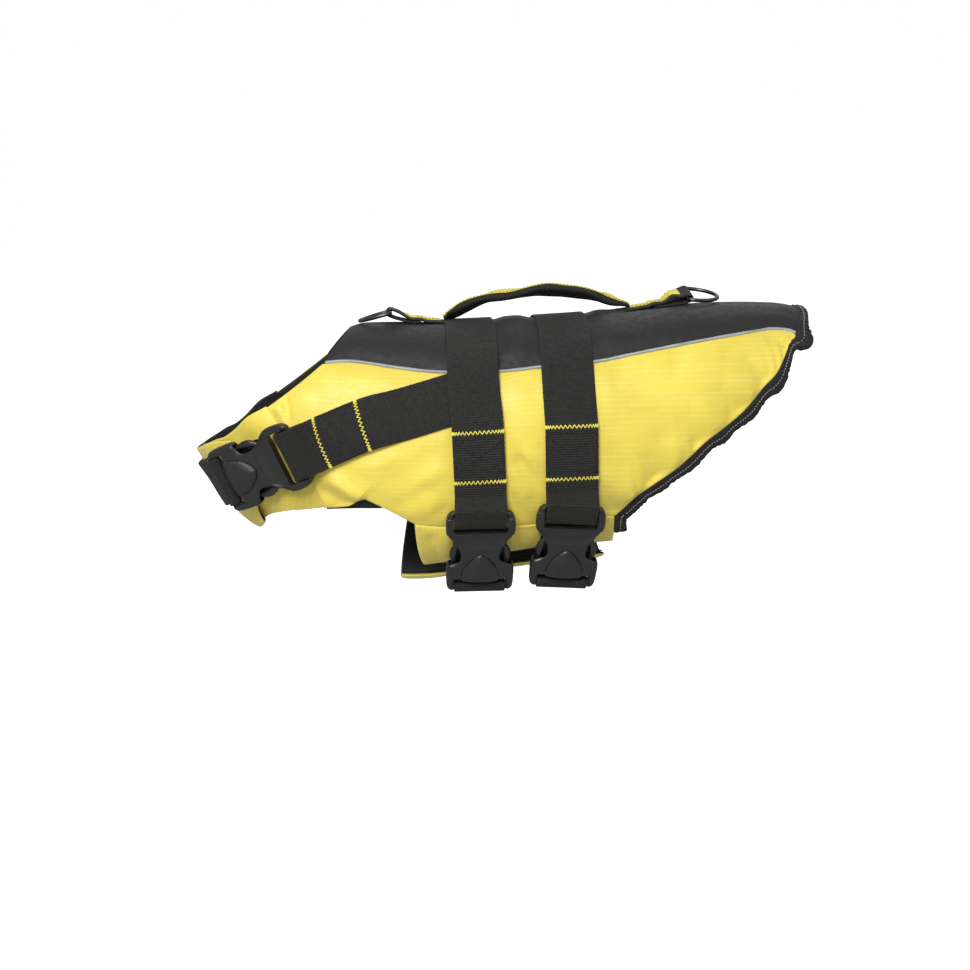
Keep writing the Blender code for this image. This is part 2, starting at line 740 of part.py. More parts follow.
def make_male(name, frame, parts):
    """Buckle tongue: ears, end bar, slot, a plate, and three prongs that enter the body."""
    half = BUCKLE_WIDTH / 2
    outline = rounded_outline(half_outline((
        (half - 1.5, 0.0, 2.0), (half, 24.5, 5.0), (half - 7.5, 29.5, 2.0),
        (half - 5.6, 34.0, 2.0), (half - 3.6, 38.5, 2.5), (half - 4.4, PRONG_END, 2.5),
        (half - 9.0, PRONG_END, 1.0), (half - 11.5, MALE_PLATE_END, 1.5),
        (4.0, MALE_PLATE_END, 0), (3.0, PRONG_END - 2, 0))), 1)
    made = plate(name, outline, [slot(BAR_LENGTH, BAR_LENGTH + TONGUE_SLOT)], TONGUE_THICK,
                 plastic(), parts)
    made.matrix_world = scaled(frame)
    return made


def scaled(frame):
    """A millimetre frame as an object matrix in metres."""
    matrix = frame.copy()
    matrix.translation = frame.translation * MM
    return matrix


def make_female(name, frame, parts, cutters):
    """Buckle body: a box with side windows, a cavity for the prongs and a recessed end bar."""
    half = BUCKLE_WIDTH / 2
    outline = rounded_outline(half_outline((
        (half - 6.6, FEMALE_START, 2.0), (half - 10.2, 35.0, 4.0), (half - 10.2, 43.0, 2.5),
        (half - 0.8, 48.5, 2.5), (half - 0.8, BUCKLE_LENGTH, 3.5))), 2)
    bar_start = BUCKLE_LENGTH - BAR_LENGTH
    made = plate(name, outline, [slot(bar_start - SLOT_LENGTH, bar_start)], BUCKLE_THICK,
                 plastic(), parts, bevel=1.2)
    made.matrix_world = scaled(frame)
    recess = BUCKLE_THICK / 2 - TONGUE_THICK / 2 + 1
    recess_z = TONGUE_THICK / 2 + recess / 2
    cavity_end = PRONG_END + 2
    boxes = [((BUCKLE_WIDTH * 0.93, cavity_end - CAVITY_START, TONGUE_THICK + 2.2),
              (0, (cavity_end + CAVITY_START) / 2, 0))]
    for z in (recess_z, -recess_z):
        boxes.append(((SLOT_WIDTH + 0.8, RECESS_LENGTH + 2, recess),
                      (0, BUCKLE_LENGTH + 1 - RECESS_LENGTH / 2, z)))
    work = bmesh.new()
    for size, centre in boxes:
        matrix = Matrix.Translation(Vector(centre) * MM) @ Matrix.Diagonal((*size, 1 / MM)) * MM
        matrix[3][3] = 1.0
        bmesh.ops.create_cube(work, size=1.0, matrix=matrix)
    mesh = bpy.data.meshes.new(name + "_cuts")
    work.to_mesh(mesh)
    work.free()
    cutter = bpy.data.objects.new(name + "_cuts", mesh)
    cutters.objects.link(cutter)
    cutter.matrix_world = scaled(frame)
    cutter.hide_render = True
    cutter.display_type = "WIRE"
    cut = made.modifiers.new("cuts", "BOOLEAN")
    cut.object = cutter
    cut.operation = "DIFFERENCE"
    cut.solver = "EXACT"
    return made


def make_buckles(parts, cutters):
    """Four fastened side-release buckles."""
    for spot, side, name in BUCKLES:
        frame = buckle_frame(spot, side)
        make_male(name + "_tongue", frame, parts)
        make_female(name + "_body", frame, parts, cutters)


BUCKLES = (
    (BELLY_FRONT, 1, "belly_buckle_front"),
    (BELLY_REAR, 1, "belly_buckle_rear"),
    (CHEST_LEFT, 1, "chest_buckle_left"),
    (CHEST_LEFT, -1, "chest_buckle_right"),
)


# ---------------------------------------------------------------- webbing
ACROSS = np.linspace(-1, 1, 3)


def rows_on_form(line, lift):
    """Rows of points across a strap that lies on the form, square to its run.

    line holds stations and turns down the strap's middle, lift one value or one for each.
    """
    step = 1e-3
    stations, turns = line[:, 0], line[:, 1]
    lifts = np.broadcast_to(lift, stations.shape)
    centre = form_base(stations, turns)
    along_station = (form_base(stations + step, turns) - centre) / step
    along_turn = (form_base(stations, turns + step) - centre) / step
    across = np.cross(form_normal(stations, turns), np.gradient(centre, axis=0))
    across /= np.linalg.norm(across, axis=1, keepdims=True)
    rows = []
    for index in range(len(stations)):
        basis = np.stack([along_station[index], along_turn[index]], 1)
        move = np.linalg.lstsq(basis, across[index] * WEB_WIDE / 2, rcond=None)[0]
        rows.append(form_point(stations[index] + ACROSS * move[0], turns[index] + ACROSS * move[1],
                               lifts[index]))
    return np.array(rows)


def rows_in_frame(frame, pairs):
    """Rows across a strap at pairs of along and outward in a buckle's axes."""
    return np.array([[tuple(frame @ Vector((-share * WEB_WIDE / 2, along, outward)))
                      for share in ACROSS] for along, outward in pairs])


def bar_wrap(bar_y, toward):
    """Pairs of along and outward round an end bar, from its outer side to its inner side.

    toward is +1 where the webbing turns back after the bar and -1 where it turns before it.
    The wrap is a squared oval, so that it clears the bar's corners, and it starts with the
    webbing's bend over the bar's outer corner.
    """
    reach = TONGUE_THICK / 2 + SEAM_GAP + WEB / 2 + WRAP_SPARE_OUT
    reach_y = BAR_LENGTH / 2 + SEAM_GAP + WEB / 2 + WRAP_SPARE_ALONG
    pairs = []
    for beyond, height in SHOULDERS[toward]:
        pairs.append((bar_y - toward * (BAR_LENGTH / 2 + beyond), height))
    for angle in WRAP_ANGLES:
        up = sin(radians(angle))
        pairs.append((bar_y + toward * reach_y * cos(radians(angle)) ** 0.5,
                      reach * abs(up) ** 0.5 * (1 if up >= 0 else -1)))
    return pairs


WRAP_ANGLES = (90, 60, 35, 0, -35, -60, -90)
WRAP_SPARE_OUT = 0.2               # air round a bar beyond the seam gap, outward
WRAP_SPARE_ALONG = 0.3             # the same along the strap
SHOULDERS = {1: ((1.2, 3.1),), -1: ((1.5, 1.1), (0.7, 2.9))}   # beyond the bar, outward


class BellyStrap(NamedTuple):
    """A belly strap: its buckle and the x and z of its middle in the side view."""
    name: str
    spot: BucklePlace
    line: tuple


BELLY_STRAPS = (
    BellyStrap("belly_strap_front", BELLY_FRONT,
               ((-42, 7.5), (-41, -24), (-38, -64), (-36, -103), (-35.5, -114))),
    BellyStrap("belly_strap_rear", BELLY_REAR,
               ((29.5, 11), (28.5, -21), (30, -64), (30.8, -101), (31.2, -111))),
)
TURN_BACK = (radians(70), radians(82))      # turns where the stitched turn-back begins
CROSSING = (radians(34), radians(46), radians(78), radians(92))     # over the chest strap's end
BODY_END_RISE = (radians(150), 0.25)        # where the body's end starts to lift, and over how much
BODY_END_BACK = radians(166)                # turn where the layer under the body's end stops
UNDER_TURN = radians(194)                   # turn where the strap reaches the body's bar
UNDER_Z = -150                              # height at which it leaves the side view's line
LAYER_SPARE = 0.6                           # extra lift where a layer crosses another's edge


def crossing_lift(turn):
    """Extra lift of the front belly strap where it passes over a chest strap's end."""
    up = smooth_step((turn - CROSSING[0]) / (CROSSING[1] - CROSSING[0]))
    down = smooth_step((turn - CROSSING[2]) / (CROSSING[3] - CROSSING[2]))
    return (WEB_LIFT_2 - WEB_LIFT) * up * (1 - down)


def make_belly_straps(parts):
    """Each belly strap in two stretches: back to tongue, and back to body under the belly."""
    for strap in BELLY_STRAPS:
        crosses = strap.spot is BELLY_FRONT
        frame = buckle_frame(strap.spot)
        start = np.array([[top_station(strap.line[0][0]), 0.0]])
        side = np.array([place(x, z) for x, z in strap.line[1:]])
        line = smooth(np.vstack([start, side]), 19)
        begin = CROSSING[:2] if crosses else TURN_BACK
        doubled = smooth_step((line[:, 1] - begin[0]) / (begin[1] - begin[0]))
        front = rows_on_form(line, WEB_LIFT + (WEB_LIFT_2 - WEB_LIFT) * doubled)
        front[0, :, 1] = -SEAM_GAP / 2
        back = rows_on_form(line[line[:, 1] > TURN_BACK[1]], WEB_LIFT)[::-1]
        wrap = rows_in_frame(frame, bar_wrap(BAR_LENGTH / 2, 1))
        sheet(strap.name + "_left", np.vstack([front, wrap, back]), WEB, webbing(), parts)

        end_x = (frame @ Vector((0, BUCKLE_LENGTH, 0))).x
        bottom = belly_station(end_x)
        under = [place(strap.line[-1][0], UNDER_Z), (bottom, pi), (bottom, UNDER_TURN)]
        line = smooth(np.vstack([start, side, under]), 30)
        lift = WEB_LIFT + belly_lift(2 * pi - line[:, 1])
        if crosses:
            lift = lift + crossing_lift(line[:, 1])
        rise = smooth_step((line[:, 1] - BODY_END_RISE[0]) / BODY_END_RISE[1])
        doubled = (WEB_LIFT_2 - WEB_LIFT + LAYER_SPARE) * rise
        back = line[:, 1] > BODY_END_BACK
        line = line * np.array([1, -1]) + np.array([0, 2 * pi])
        front = rows_on_form(line, lift + doubled)
        front[0, :, 1] = SEAM_GAP / 2
        back = rows_on_form(line[back], lift[back])[::-1]
        wrap = rows_in_frame(frame, bar_wrap(BUCKLE_LENGTH - BAR_LENGTH / 2, -1))[:, ::-1]
        sheet(strap.name + "_right", np.vstack([front, wrap, back]), WEB, webbing(), parts)


CHEST_LINE = ((-50, -42), (-59, -45), (-88, -53.5), (-118.5, -62.5), (-142, -71.5), (-152, -75.5))
CHEST_TURN_BACK_X = -116          # where a chest strap's stitched turn-back ends
CHEST_RISE = 20                   # length over which its upper layer rises there
FRONT_LINE = ((1.22, 149), (1.20, 163), (1.18, 180))      # front strap: station, degrees
FRONT_SPARE = 0.4                 # extra lift of the front strap's outer layer


def make_chest_straps(parts):
    """The two chest straps and the strap between their buckles round the front."""
    frame = buckle_frame(CHEST_LEFT)
    line = smooth(np.array([place(x, z) for x, z in CHEST_LINE]), 13)
    x = form_base(line[:, 0], line[:, 1])[:, 0]
    lift = WEB_LIFT + (WEB_LIFT_2 - WEB_LIFT) * smooth_step(
        (CHEST_TURN_BACK_X + CHEST_RISE - x) / CHEST_RISE)
    front = rows_on_form(line, lift)
    back = rows_on_form(line[x < CHEST_TURN_BACK_X], WEB_LIFT)[::-1]
    rows = np.vstack([front, rows_in_frame(frame, bar_wrap(BAR_LENGTH / 2, 1)), back])
    sheet("chest_strap_left", rows, WEB, webbing(), parts)
    sheet("chest_strap_right", mirrored(rows), WEB, webbing(), parts)

    wrap = rows_in_frame(frame, bar_wrap(BUCKLE_LENGTH - BAR_LENGTH / 2, -1))[::-1]
    half = smooth(turned(FRONT_LINE), 5)
    inner = rows_on_form(half[:3][::-1], CHEST_OVERLAP + WEB_LIFT)[:, ::-1]
    outer = rows_on_form(half, CHEST_OVERLAP + WEB_LIFT_2 + FRONT_SPARE)
    rows = np.vstack([inner, wrap, outer])
    rest = mirrored(rows[:-1][::-1])
    sheet("chest_strap_front", np.vstack([rows, rest]), WEB, webbing(), parts)


# ---------------------------------------------------------------- handle and leash rings
class LoopPoint(NamedTuple):
    """A point down the middle of the handle's webbing, and how far it hugs the back."""
    x: float
    z: float
    hug: float
    roll: float = 0.0          # share of the ring's roll that the webbing takes here


FRONT_BAR = (-99.5, 14.0)         # axis of the front leash ring, x and z
REAR_BAR = (129.0, 27.0)
REAR_ROLL = radians(14)           # of the rear ring and its loop, left side down
RING_ROUND = RING_WIRE / 2 + SEAM_GAP + WEB / 2
BACK_ROUND = 110.0                # radius of the back across its midline
FRONT_LOOP = (-88.0, -61.6)       # x where a ring's loop lies flat, and of its end at the grip
REAR_LOOP = (114.0, 84.0)
LOOP_FOOT = 4                     # from the flat place: foot of the loop
LOOP_DOUBLE = 12                  # end of the doubled stretch
LOOP_SINGLE = 17                  # start of the single layer
LOOP_NECK = 6                     # from the bar's middle to the loop's neck
NECK_ROLL = 0.8                   # share of the ring's roll at the neck
BOW_POWER = 0.8                   # how full the ring's bow is; 1 is a half ellipse
BAR_CORNER = 1.2                  # from a bar's end to its bend
BOW_SPARE = 0.3                   # air under the bow beyond the seam gap
BOW_SHARE = 0.8                   # share of the bar's half length whose roll lifts the bow
GRIP_LINE = (
    (-60.4, 11.6), (-52, 13.0), (-42, 17.8), (-30, 22.4), (-18.5, 25.4), (0, 27.6), (16, 29.9),
    (31, 29.4), (50, 27.0), (66, 23.2), (76, 20.2), (83, 18.6),
)


def strip(name, points, width, thickness, surface, parts):
    """A strip of webbing or tape across the midline plane, rolled where its points say so."""
    rows = []
    for x, z, hug, roll in points:
        y = ACROSS * width / 2
        turn, rise = roll * REAR_ROLL, z - REAR_BAR[1]
        low = -hug * y ** 2 / (2 * BACK_ROUND)
        rows.append(np.stack([np.full(3, x), y * cos(turn) - roll * rise * sin(turn),
                              z + low + y * sin(turn) - roll * rise * (1 - cos(turn))], -1))
    return sheet(name, np.array(rows), thickness, surface, parts)


def loop_points(bar, flat_x, end_x):
    """Points of a ring's webbing: a short under layer, up, round the bar and back along.

    It runs from under the flat stretch's near end round the ring's bar and back over itself
    to the handle's end.
    """
    side = 1 if bar[0] > end_x else -1

    def on_back(x, lift):
        return LoopPoint(x, form_base(top_station(x), 0.0)[2] + lift, 1.0)

    points = [on_back(flat_x - side * LOOP_DOUBLE, WEB_LIFT),
              on_back(flat_x - side * LOOP_FOOT, WEB_LIFT)]
    centre = np.array(bar)
    toward = centre - np.array([points[-1].x, points[-1].z + WEB / 2])
    toward /= np.linalg.norm(toward)
    across = np.array([toward[1], -toward[0]]) * side
    roll = 1.0 if side > 0 else 0.0
    neck = centre - LOOP_NECK * toward
    points.append(LoopPoint(*(neck + RING_ROUND * across), 0.0, NECK_ROLL * roll))
    for turn in np.linspace(0, pi, 8):
        points.append(LoopPoint(*(centre + RING_ROUND * (toward * sin(turn) + across * cos(turn))),
                                0.0, roll))
    points.append(LoopPoint(*(neck - RING_ROUND * across), 0.0, NECK_ROLL * roll))
    points += [on_back(flat_x - side * LOOP_FOOT, WEB_LIFT_2),
               on_back(flat_x - side * LOOP_DOUBLE, WEB_LIFT_2),
               on_back(flat_x - side * LOOP_SINGLE, WEB_LIFT + LAYER_SPARE),
               on_back(end_x, WEB_LIFT)]
    return points


def make_handle(parts):
    """The grip, the webbing that holds it and the rings, and the yellow tape on top."""
    yellow = material("yellow_tape", (0.83, 0.72, 0.1), 0.65)
    front = loop_points(FRONT_BAR, *FRONT_LOOP)
    rear = loop_points(REAR_BAR, *REAR_LOOP)
    strip("ring_webbing_front", front, WEB_NARROW, WEB, webbing(), parts)
    strip("ring_webbing_rear", rear, WEB_NARROW, WEB, webbing(), parts)
    line = smooth(GRIP_LINE, 20)
    tangent = np.gradient(line, axis=0)
    tangent /= np.linalg.norm(tangent, axis=1, keepdims=True)
    normal = np.stack([-tangent[:, 1], tangent[:, 0]], -1)
    rings = []
    for middle, up in zip(line, normal):
        ring = []
        for turn in np.arange(8) * pi / 4 + pi / 8:
            lift = sin(turn) * GRIP_THICK / 2 / cos(pi / 8)
            ring.append((middle[0] + up[0] * lift, cos(turn) * GRIP_WIDTH / 2,
                         middle[1] + up[1] * lift))
        rings.append(ring)
    tube("handle_grip", np.array(rings), webbing(), parts)
    rise = GRIP_THICK / 2 + SEAM_GAP + TAPE / 2
    over = [LoopPoint(*point, 0.0) for point in (line + normal * rise)]
    strip("handle_tape", over, TAPE_WIDTH, TAPE, yellow, parts)
    lift = WEB / 2 + SEAM_GAP + TAPE / 2
    for name, top in (("ring_tape_front", front[-4:]), ("ring_tape_rear", rear[-6:])):
        made = []
        for before, here, after in zip([top[0]] + top[:-1], top, top[1:] + [top[-1]]):
            run = np.array([after.x - before.x, after.z - before.z])
            run /= np.linalg.norm(run)
            up = np.array([-run[1], run[0]])
            up *= np.sign(up[1])
            made.append(LoopPoint(here.x + up[0] * lift, here.z + up[1] * lift, here.hug,
                                  here.roll))
        strip(name, made, TAPE_WIDTH, TAPE, yellow, parts)


def make_leash_ring(name, bar, toward, rest_z, roll, parts):
    """A welded D ring: a straight bar in the webbing and a bow, as a closed round curve."""
    half = RING_BAR / 2 + RING_WIRE / 2
    outline = [(0.0, y) for y in np.linspace(-half + BAR_CORNER, half - BAR_CORNER, 4)]
    for turn in np.linspace(pi / 2, -pi / 2, 15)[1:-1]:
        outline.append((RING_DEPTH * max(cos(turn), 0.0) ** BOW_POWER, half * sin(turn)))
    drop = (rest_z - bar[1]) / RING_DEPTH
    tilt = asin(drop)
    curve = bpy.data.curves.new(name, "CURVE")
    curve.dimensions = "3D"
    curve.bevel_depth = RING_WIRE / 2 * MM
    curve.bevel_resolution = 2
    spline = curve.splines.new("POLY")
    spline.points.add(len(outline) - 1)
    for point, (reach, y) in zip(spline.points, outline):
        point.co = (toward * reach * cos(tilt) * MM, y * MM, reach * sin(tilt) * MM, 1.0)
    spline.use_cyclic_u = True
    carrier = bpy.data.objects.new(name + "_curve", curve)
    parts.objects.link(carrier)
    mesh = bpy.data.meshes.new_from_object(
        carrier.evaluated_get(bpy.context.evaluated_depsgraph_get()))
    bpy.data.objects.remove(carrier)
    mesh.name = name
    mesh.materials.clear()
    mesh.materials.append(material("ring_steel", (0.12, 0.12, 0.125), 0.3, 1.0))
    made = bpy.data.objects.new(name, mesh)
    made.location = (bar[0] * MM, 0.0, bar[1] * MM)
    made.rotation_euler = (roll, 0.0, 0.0)
    parts.objects.link(made)
    return made


def make_leash_rings(parts):
    """The two leash rings, each lying with its bow on the back panel."""
    for name, bar, toward, roll in (("leash_ring_front", FRONT_BAR, -1, 0.0),
                                    ("leash_ring_rear", REAR_BAR, 1, REAR_ROLL)):
        bow_x = bar[0] + toward * RING_DEPTH
        rest = form_base(top_station(bow_x), 0.0)[2] + RING_WIRE / 2 + SEAM_GAP + BOW_SPARE
        rest += BOW_SHARE * RING_BAR / 2 * sin(roll)
        make_leash_ring(name, bar, toward, rest, roll, parts)


def main():
    """Build every piece."""
    for old in list(bpy.data.objects):
        bpy.data.objects.remove(old)
    parts = collection(OBJECT_NAME)
    cutters = collection("cutters")
    make_back_panel(parts)
    make_side_panels(parts)
    make_chest_flaps(parts)
    make_belly_flaps(parts)
    make_facings(parts)
    make_piping(parts)
    make_binding(parts)
    make_buckles(parts, cutters)
    make_belly_straps(parts)
    make_chest_straps(parts)
    make_handle(parts)
    make_leash_rings(parts)


main()
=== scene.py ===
"""Looks of the dog life jacket: quilted panels, flaps, webbing, buckles, binding and handle.

The jacket's body form is a rounded square section swept from ring to ring.  A place on it is
(station, turn, lift): the ring's number, the angle from the back round the wearer's left side,
and the distance outward from the outer face of the panels.  Lengths are millimetres until a
mesh is made.  +X is the tail, -Y the wearer's left, +Z up.
"""
import json
import logging
from dataclasses import dataclass, field
from enum import Enum
from math import cos, pi, radians, sin

import bpy
import numpy as np
from mathutils import Matrix, Vector

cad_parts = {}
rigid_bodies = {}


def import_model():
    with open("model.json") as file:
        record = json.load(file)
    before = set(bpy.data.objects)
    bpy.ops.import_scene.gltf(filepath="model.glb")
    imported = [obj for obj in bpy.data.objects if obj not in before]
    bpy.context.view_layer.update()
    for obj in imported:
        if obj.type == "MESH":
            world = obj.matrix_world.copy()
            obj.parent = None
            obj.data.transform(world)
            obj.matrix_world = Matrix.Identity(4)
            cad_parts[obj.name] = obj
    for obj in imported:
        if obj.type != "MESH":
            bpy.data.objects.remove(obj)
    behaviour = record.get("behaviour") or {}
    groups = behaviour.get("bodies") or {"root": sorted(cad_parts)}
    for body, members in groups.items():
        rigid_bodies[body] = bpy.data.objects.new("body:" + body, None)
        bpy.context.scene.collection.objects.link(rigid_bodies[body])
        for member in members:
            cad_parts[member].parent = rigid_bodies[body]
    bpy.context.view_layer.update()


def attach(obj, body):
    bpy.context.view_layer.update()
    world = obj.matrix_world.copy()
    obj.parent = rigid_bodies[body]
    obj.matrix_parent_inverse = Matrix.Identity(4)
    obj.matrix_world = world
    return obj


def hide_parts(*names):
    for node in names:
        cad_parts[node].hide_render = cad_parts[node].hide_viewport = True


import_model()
LOG = logging.getLogger("life_jacket")

MM = 0.001

Grid = np.ndarray
Row = tuple[float, ...]


# ---------------------------------------------------------------- sizes shared by the pieces
@dataclass(frozen=True)
class Cloth:
    """Thicknesses and layers of the jacket, as its pieces are cut."""
    foam: float = 8.5
    edge: float = 4.0
    edge_drop: float = 1.2
    taper: float = 16.0
    belly_flap: float = 4.0
    chest_flap: float = 3.0
    facing: float = 1.2
    gap: float = 0.35
    web: float = 1.6
    web_wide: float = 38.0
    web_narrow: float = 25.0
    web_lift: float = 1.5
    web_lift_2: float = 3.6
    layer_spare: float = 0.6
    piping: float = 2.6
    piping_drop: float = 1.2
    binding: float = 7.6
    binding_thick: float = 5.0


CLOTH = Cloth()


def smooth_step(value: Grid) -> Grid:
    """A soft ramp from 0 to 1: three times the square less twice the cube."""
    value = np.clip(value, 0, 1)
    return value * value * (3 - 2 * value)


def curve_through(points: Grid, count: int) -> Grid:
    """Evenly spaced points on a Catmull-Rom curve through the given ones.

    Args:
        points: rows of coordinates, of any width.
        count: how many points to return.

    Returns:
        The points, equally far apart along the curve.
    """
    points = np.array(points, float)
    ends = np.vstack([2 * points[0] - points[1], points, 2 * points[-1] - points[-2]])
    part = np.linspace(0, 1, 24, endpoint=False)[None, :, None]
    a, b, c, d = (ends[i:len(ends) - 3 + i, None, :] for i in range(4))
    fine = 0.5 * (2 * b + (c - a) * part + (2 * a - 5 * b + 4 * c - d) * part ** 2
                  + (3 * b - a - 3 * c + d) * part ** 3)
    fine = np.vstack([fine.reshape(-1, points.shape[1]), points[-1]])
    run = run_length(fine)
    return sampled(np.linspace(0, run[-1], count), run, fine)


def curved(rows: tuple[Row, ...], y: Grid) -> Grid:
    """Values at y on a smooth curve through rows of y and value."""
    fine = curve_through(rows, 400)
    return np.interp(y, fine[:, 0], fine[:, 1])


def run_length(points: Grid) -> Grid:
    """Length along a row of points, from 0 at the first."""
    steps = np.linalg.norm(np.diff(points, axis=0), axis=-1)
    return np.concatenate([[0], np.cumsum(steps)])


def unit(vectors: Grid) -> Grid:
    """Vectors divided by their own length."""
    return vectors / np.maximum(np.linalg.norm(vectors, axis=-1, keepdims=True), 1e-12)


def mirrored(points: Grid) -> Grid:
    """The same points on the wearer's other side."""
    return points * np.array([1.0, -1.0, 1.0])


def ripple(run: Grid, height: float, pitch: float, phase: float = 0.0) -> Grid:
    """A sine wave along a run: its height, the length of one wave and its phase."""
    return height * np.sin(run * 2 * pi / pitch + phase)


def signed_power(value: Grid, power: float) -> Grid:
    """A power of the size of a value, with the value's own sign."""
    return np.sign(value) * np.abs(value) ** power


def hill(value: Grid, middle: float, reach: float, power: float = 2) -> Grid:
    """A smooth hill of height 1 round a middle."""
    return np.exp(-((value - middle) / reach) ** power)


def eased(run: Grid, start: float, end: float) -> Grid:
    """1 along a run, sinking to 0 over its first and its last stretch."""
    return smooth_step(run / start) * smooth_step((run[-1] - run) / end)


def sampled(at: Grid, run: Grid, rows: Grid) -> Grid:
    """Rows of points at other places of their run."""
    return np.stack([np.interp(at, run, column) for column in rows.T], -1)


def round_angles(count: int) -> Grid:
    """Angles of evenly spaced points of a circle."""
    return np.arange(count) * 2 * pi / count


def cosine_shares(count: int) -> Grid:
    """Places from -1 to 1 that crowd toward both ends."""
    return np.sin(np.linspace(-pi / 2, pi / 2, count))


def other_side(line: Grid) -> Grid:
    """A line of stations and turns on the wearer's other side."""
    return line * np.array([1, -1]) + np.array([0, 2 * pi])


def turned_by(line: Grid, degrees: float) -> Grid:
    """A line of stations and turns moved round the form by degrees."""
    return line + np.array([0, radians(degrees)])


def turned(rows: tuple[Row, ...]) -> Grid:
    """Rows of station and degrees as stations and radians."""
    return np.array([(station, radians(turn)) for station, turn in rows])


class SoftNoise:
    """Smooth unevenness of cloth: a few crossing sine waves with fixed random phases."""

    def __init__(self, seed: int, wavelength: float, waves: int = 9) -> None:
        """Draw the waves.

        Args:
            seed: number that fixes the phases.
            wavelength: middle wavelength in millimetres.
            waves: how many sine waves are added.
        """
        draw = np.random.default_rng(seed)
        heading = unit(draw.normal(size=(waves, 3)))
        self.waves = heading * (2 * pi / (wavelength * draw.uniform(0.6, 1.6, (waves, 1))))
        self.phases = draw.uniform(0, 2 * pi, waves)

    def at(self, points: Grid) -> Grid:
        """Values near -1 to 1 at points."""
        return np.sin(points @ self.waves.T + self.phases).sum(-1) / np.sqrt(len(self.phases)) / 1.4


# ---------------------------------------------------------------- the body form
@dataclass
class BodyForm:
    """The worn form that every cloth piece lies on.

    Columns of rings: back x, back z, belly x, belly z, half width, squareness.
    """
    rings: tuple[Row, ...] = (
        (-142, 1.0, -256, -78, 46, 2.00), (-126, 5.0, -237, -106, 57, 2.05),
        (-108, 6.0, -211, -143, 68, 2.10), (-86, 6.0, -156, -174, 77, 2.15),
        (-62, 5.8, -92, -185, 82, 2.25), (0, 8.5, -10, -177, 85, 2.30),
        (60, 12.3, 58, -170, 84, 2.30), (120, 18.5, 125, -158, 80, 2.25),
        (170, 20.5, 180, -142, 74, 2.20), (216, 19.0, 232, -130, 68, 2.15),
    )
    table: Grid = field(init=False)
    last: int = field(init=False)

    def __post_init__(self) -> None:
        """Keep the ring table as an array."""
        self.table = np.array(self.rings, float)
        self.last = len(self.rings) - 1

    def ring_at(self, station: Grid) -> Grid:
        """Ring values at any station, on a Catmull-Rom curve through the table's rows.

        Args:
            station: places along the form, in rows of its table.

        Returns:
            One row of ring values for each.
        """
        station = np.clip(np.asarray(station, float), 0, self.last - 1e-9)
        row = np.floor(station).astype(int)
        part = (station - row)[..., None]
        before, here = self.table[np.maximum(row - 1, 0)], self.table[row]
        after, beyond = self.table[row + 1], self.table[np.minimum(row + 2, self.last)]
        return 0.5 * (2 * here + (after - before) * part
                      + (2 * before - 5 * here + 4 * after - beyond) * part ** 2
                      + (3 * here - before - 3 * after + beyond) * part ** 3)

    def base(self, station: Grid, turn: Grid) -> Grid:
        """Points of the form: a superellipse in the plane of back and belly midline.

        Args:
            station: places along the form.
            turn: turns from the back, in radians.

        Returns:
            The points.
        """
        top_x, top_z, low_x, low_z, half, square = np.moveaxis(self.ring_at(station), -1, 0)
        up, out = np.cos(turn), np.sin(turn)
        reach = (np.abs(up) ** square + np.abs(out) ** square) ** (-1 / square)
        share = 0.5 * (1 + reach * up)
        return np.stack([low_x + (top_x - low_x) * share, -half * reach * out,
                         low_z + (top_z - low_z) * share], -1)

    def normal(self, station: Grid, turn: Grid, step: float = 1e-3) -> Grid:
        """Outward unit normals: the cross product of differences along both directions.

        Args:
            station: places along the form.
            turn: turns from the back, in radians.
            step: half width of the differences.

        Returns:
            The normals.
        """
        station, turn = np.broadcast_arrays(np.asarray(station, float), np.asarray(turn, float))
        station = np.clip(station, step, self.last - 2 * step)
        along = self.base(station + step, turn) - self.base(station - step, turn)
        around = self.base(station, turn + step) - self.base(station, turn - step)
        return unit(np.cross(around, along))

    def point(self, station: Grid, turn: Grid, lift: Grid | float = 0.0) -> Grid:
        """Points at a distance outward from the form."""
        station, turn, lift = np.broadcast_arrays(
            *(np.asarray(v, float) for v in (station, turn, lift)))
        return self.base(station, turn) + self.normal(station, turn) * lift[..., None]

    def at(self, grid: Grid) -> Grid:
        """Points of the form at a grid or a line of stations and turns."""
        return self.base(grid[..., 0], grid[..., 1])

    def over(self, grid: Grid, lift: Grid | float) -> Grid:
        """Points at a distance outward from the form, at a grid or a line."""
        return self.point(grid[..., 0], grid[..., 1], lift)

    def place(self, points: Grid) -> Grid:
        """Stations and turns of the points of the left side that show at x, z from the side.

        The station is where the chord from back to belly passes through the point, and the
        turn follows from the share of that chord.

        Args:
            points: rows of x and z.

        Returns:
            Rows of station and turn.
        """
        points = np.atleast_2d(np.asarray(points, float))
        stations = np.linspace(0, self.last - 1e-6, 3000)
        rings = self.ring_at(stations)
        chord = rings[:, 2:4] - rings[:, 0:2]
        offset = points[:, None, :] - rings[None, :, 0:2]
        cross = offset[..., 0] * chord[:, 1] - offset[..., 1] * chord[:, 0]
        at = np.argmax(np.sign(cross[:, :-1]) != np.sign(cross[:, 1:]), axis=1)
        rows = np.arange(len(points))
        part = cross[rows, at] / (cross[rows, at] - cross[rows, at + 1])
        station = stations[at] + part * (stations[at + 1] - stations[at])
        ring = self.ring_at(station)
        depth = (np.linalg.norm(points - ring[:, 0:2], axis=1)
                 / np.linalg.norm(ring[:, 2:4] - ring[:, 0:2], axis=1))
        up = np.clip(1 - 2 * depth, -1, 1)
        out = (1 - np.abs(up) ** ring[:, 5]) ** (1 / ring[:, 5])
        return np.stack([station, np.arctan2(out, up)], -1)

